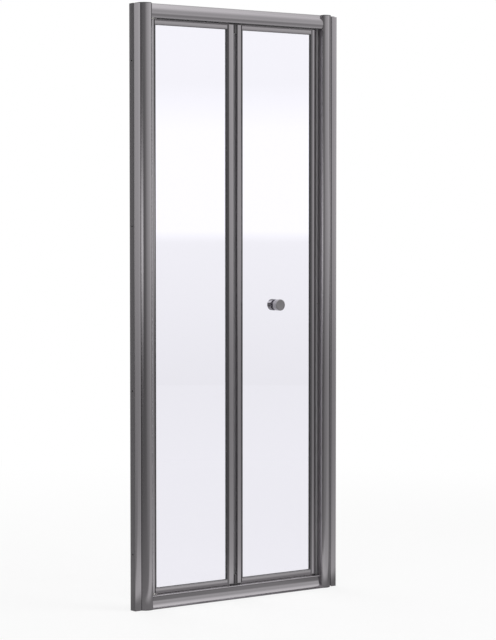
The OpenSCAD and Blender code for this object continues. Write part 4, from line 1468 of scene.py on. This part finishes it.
# ---- The studio ----

@dataclass(frozen=True)
class Ease:
    """A soft step: where it starts, where it is full, and how much it is then."""

    low: float
    high: float
    full: float = 1.0

    def of(self, value: Value) -> Value:
        """Returns the step's share for a value."""
        share = value.tree.smooth(value, self.low, self.high)
        return share if self.full == 1.0 else share * self.full


@dataclass(frozen=True)
class Lamp:
    """A soft square lamp that looks at the middle of the door. Places and size are in metres."""

    name: str
    place: Spot
    power: float
    size: float = 2.6
    aim: Spot = (0.0, 0.0, 0.9)

    def add(self) -> None:
        """Adds the lamp. It doesn't show in metal or glass, because the surroundings do."""
        way = Vector(self.aim) - Vector(self.place)
        bpy.ops.object.light_add(type="AREA", location=self.place,
                                 rotation=way.to_track_quat("-Z", "Y").to_euler())
        lamp = bpy.context.object
        lamp.name = self.name
        lamp.data.size, lamp.data.energy = self.size, self.power
        lamp.visible_glossy = lamp.visible_transmission = False


@dataclass
class Surroundings:
    """What the metal and the glass reflect: white to the eye, and a soft studio in gloss."""

    # Brightness of the surroundings in gloss: degrees round the horizon from straight ahead of the
    # door towards its right, and a strength
    around: Curve = (
        (-180, 0.5), (-158, 0.4), (-146, 0.19), (-92, 0.17), (-85, 0.18), (-70, 0.215),
        (-56, 0.262), (-42, 0.295), (-28, 0.32), (-20, 0.4), (-10, 0.53), (0, 0.665), (15, 0.78),
        (30, 0.86), (37, 0.865), (45, 0.97), (52, 1.04), (60, 1.03), (72, 0.93), (79, 0.26),
        (84, 0.17), (95, 0.22), (110, 0.4), (135, 0.6), (180, 0.5))
    # The same from below to above the horizon, as a share of that strength
    upwards: Curve = (
        (-10, 0.56), (-4.6, 0.565), (-3.6, 0.595), (-2.85, 0.655), (-2.1, 0.74), (-0.8, 0.82),
        (0.5, 0.88), (3.35, 0.92), (4.9, 1.02), (12, 0.93), (20, 0.88), (30, 0.9), (38, 1.04),
        (90, 1.1))
    # A bright band at eye height: degrees round the horizon and its strength
    band: Curve = (
        (-180, 0.5), (-150, 0.85), (-120, 1.1), (-95, 1.4), (-60, 1.35), (-50, 0.2), (-45, 0.0),
        (77, 0.0), (82, 0.9), (92, 0.9), (100, 0.4), (180, 0.5))
    # Brightness behind the panes: degrees above the horizon and a strength
    through: Curve = (
        (-10, 0.93), (-4.3, 0.89), (-2.07, 0.93), (-0.6, 0.95), (-0.3, 1.087), (2.3, 1.087),
        (3.5, 0.99), (14, 0.99), (26, 1.3))

    # The ceiling, and the window behind the door, by degrees upwards and to the left
    ceiling: Ease = Ease(32.0, 62.0)
    ceiling_strength: float = 1.56
    window_up: Ease = Ease(14.0, 26.0)
    window_round: Ease = Ease(138.0, 150.0, 1.5)
    # The bright band's width and the height of its middle, in degrees
    band_width: float = 1.86
    band_lowest: float = -0.55
    band_rise: Ease = Ease(-20.0, 20.0, 0.55)
    soft_strength: float = 0.55

    @staticmethod
    def bearing(x: Value, y: Value) -> Value:
        """Returns the bearing of a direction in degrees, 0 straight ahead of the door."""
        return x.maths("ARCTAN2", -y) * math.degrees(1)

    @staticmethod
    def curve(value: Value, points: Curve, interpolation: str = "LINEAR") -> Value:
        """Reads a curve at a value.

        Args:
            value: Where the curve is read.
            points: The curve's points, with levels up to 2.
            interpolation: LINEAR or EASE.

        Returns:
            The curve's level.
        """
        low, span = points[0][0], points[-1][0] - points[0][0]
        stops = [((place - low) / span, level / 2) for place, level in points]
        return value.tree.node("ShaderNodeValToRGB",
                               {"stops": stops, "interpolation": interpolation},
                               {"Fac": (value - low) / span}) * 2.0

    def glow_round(self, x: Value, y: Value) -> Value:
        """Returns the strength in gloss for the bearing of x and y."""
        return self.curve(self.bearing(x, y), self.around, "EASE")

    def glow(self, parts: dict[str, Value]) -> Value:
        """Builds what metal shows: walls, ceiling, window and a bright band at eye height.

        Args:
            parts: The direction's three parts.

        Returns:
            The strength in that direction.
        """
        up = parts["Z"].maths("ARCSINE") * math.degrees(1)
        bearing = self.bearing(parts["X"], parts["Y"])
        wall = self.glow_round(parts["X"], parts["Y"]) * self.curve(up, self.upwards)
        ceiling = self.ceiling.of(up)
        window = self.window_up.of(up) * self.window_round.of(bearing * -1.0)
        middle = self.band_rise.of(bearing) + self.band_lowest
        beam = (-((up - middle) / self.band_width) ** 2.0).maths("EXPONENT")
        return ((wall + window) * (1.0 - ceiling) + ceiling * self.ceiling_strength
                + beam * self.curve(bearing, self.band))

    def build(self) -> None:
        """Builds the world."""
        world = bpy.data.worlds.new("studio")
        bpy.context.scene.world = world
        tree = Tree(world)

        def light(strength: Value | float) -> Value:
            """Returns white light of a strength."""
            return tree.node("ShaderNodeBackground",
                             inputs={"Color": (1, 1, 1, 1), "Strength": strength})

        parts = tree.parts(tree.node("ShaderNodeTexCoord", output="Generated"))
        up = parts["Z"].maths("ARCSINE") * math.degrees(1)
        ray = tree.rays()
        passed = ray["Is Transmission Ray"]
        white = light(1.0 + passed * (self.curve(up, self.through) - 1.0))
        lit = tree.mix(ray["Is Glossy Ray"], light(self.soft_strength), light(self.glow(parts)))
        seen = tree.mix(ray["Is Camera Ray"].maths("MAXIMUM", passed), lit, white)
        tree.node("ShaderNodeOutputWorld", inputs={"Surface": seen})


@dataclass
class Floor:
    """The pale floor, which keeps the object's shadow. Its lengths are in metres."""

    surroundings: Surroundings
    radius: float = 9.0
    drop: float = 0.0005
    shade: float = 0.86
    # In gloss: the strength near the door, and how far off it has mostly given way to the other
    near_reach: float = 1.6
    near_strength: float = 0.44
    right_dimming: Ease = Ease(0.2, 0.6, -0.16)
    # A bright patch in front of the door, as far as a slanting line at the left, and another
    # behind the door and to its left
    front_patch: Ease = Ease(0.12, 0.32, 0.6)
    front_patch_side: Ease = Ease(-0.72, -0.55)
    front_patch_slant: float = 0.75
    rear_patch: Ease = Ease(0.5, 0.9, 0.3)
    rear_patch_side: Ease = Ease(-0.05, 0.1)
    # Further off: a least strength and a share of the walls'
    far_least: float = 0.06
    far_share: float = 0.5
    # What is added where a steep look down meets the floor away from the door
    steep: Ease = Ease(0.25, 0.5)
    steep_away: Ease = Ease(0.5, 1.2, 0.17)
    # Through glass: the strength far off, what is added near the door, and how far that reaches
    through_far: float = 0.903
    through_near: float = 0.05
    through_reach: float = 5.0
    # To the eye: the share of pure white near the door, and how it grows
    white_least: float = 0.8
    white_growth: Ease = Ease(1.5, 4.0, 0.2)

    def gloss(self, tree: Tree, parts: dict[str, Value], away: Value) -> Value:
        """Builds what metal shows of the floor.

        Args:
            tree: The material's nodes.
            parts: The place's three parts.
            away: The distance from the middle of the door.

        Returns:
            The strength at that place.
        """
        x, y = parts["X"], parts["Y"]
        near = (away / -self.near_reach).maths("EXPONENT")
        around = self.surroundings.glow_round(x, y)
        front = self.front_patch.of(y * -1.0) * self.front_patch_side.of(
            x + y * self.front_patch_slant)
        rear = self.rear_patch.of(y - x) * self.rear_patch_side.of(y)
        close = self.near_strength + self.right_dimming.of(x) + rear + front
        far = self.far_least + around * self.far_share
        facing = tree.node("ShaderNodeLayerWeight", inputs={"Blend": 0.5}, output="Facing")
        steep = self.steep.of(1.0 - facing) * self.steep_away.of(away)
        return far * (1.0 - near) + close * near + steep

    def build(self) -> None:
        """Builds the floor and its material."""
        Bench.clear()
        bpy.ops.mesh.primitive_circle_add(vertices=96, radius=self.radius, fill_type="NGON",
                                          location=(0, 0, -self.drop))
        floor = Bench.settle(bpy.context.object)
        floor.name = "floor"
        material = bpy.data.materials.new("pale_floor")
        tree = Tree(material)
        parts = tree.parts(tree.node("ShaderNodeTexCoord", output="Object"))
        away = (parts["X"] ** 2.0 + parts["Y"] ** 2.0) ** 0.5
        ray = tree.rays()
        passed = ray["Is Transmission Ray"]
        plain = ray["Is Camera Ray"].maths("MAXIMUM", passed)
        behind = self.through_far + (away / -self.through_reach).maths(
            "EXPONENT") * self.through_near
        diffuse = tree.node("ShaderNodeBsdfDiffuse", inputs={"Color": (*(self.shade,) * 3, 1)})
        white = tree.node("ShaderNodeEmission", inputs={
            "Strength": 1.0 + passed * (behind - 1.0)})
        gloss = tree.node("ShaderNodeEmission", inputs={
            "Strength": self.gloss(tree, parts, away)})
        seen = tree.mix(plain * (self.white_least + self.white_growth.of(away)), diffuse, white)
        both = tree.mix(ray["Is Glossy Ray"] * (1.0 - passed), seen, gloss)
        tree.node("ShaderNodeOutputMaterial", inputs={"Surface": both})
        floor.data.materials.append(material)


@dataclass
class Studio:
    """Camera, lamps, floor and surroundings."""

    eye: Spot = (-4172.9, -5582.6, 1193.1)
    # Degrees that the camera looks to the right and down
    yaw: float = 37.141
    pitch: float = 2.589
    focal_px: float = 2216.43
    frame_px: tuple[int, int] = (496, 640)
    film: float = 36.0
    view_end: float = 100.0
    lamps: tuple[Lamp, ...] = (Lamp("key_lamp", (2.2, -3.4, 3.6), 95.0),
                               Lamp("fill_lamp", (-3.4, -2.6, 2.4), 45.0),
                               Lamp("rear_lamp", (0.6, 3.4, 3.0), 50.0))

    def build(self) -> None:
        """Builds camera, surroundings, floor and lamps."""
        bpy.context.scene.view_settings.view_transform = "Standard"
        self.camera()
        surroundings = Surroundings()
        surroundings.build()
        Floor(surroundings).build()
        for lamp in self.lamps:
            lamp.add()
        log.info("studio: camera, surroundings, floor and %d lamps", len(self.lamps))

    def camera(self) -> None:
        """Adds the camera at the photograph's viewing angle."""
        bpy.ops.object.camera_add(
            location=Vector(self.eye) * MM,
            rotation=(math.radians(90 - self.pitch), 0.0, math.radians(-self.yaw)))
        camera = bpy.context.object
        camera.name = "camera"
        camera.data.sensor_width = self.film
        camera.data.lens = self.film * self.focal_px / max(self.frame_px)
        camera.data.clip_end = self.view_end
        bpy.context.scene.camera = camera


def main() -> None:
    """Builds the door and its studio."""
    logging.basicConfig(level=logging.INFO, format="%(name)s: %(message)s")
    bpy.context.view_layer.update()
    Studio().build()
    WallFrame().build()
    PivotLeaf().build()
    sliding = SlidingLeaf()
    sliding.build()
    Knobs(sliding.hole_x).build()
    RunningGear().build()
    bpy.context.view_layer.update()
    Bench.clear()


if __name__ == "__main__":
    main()
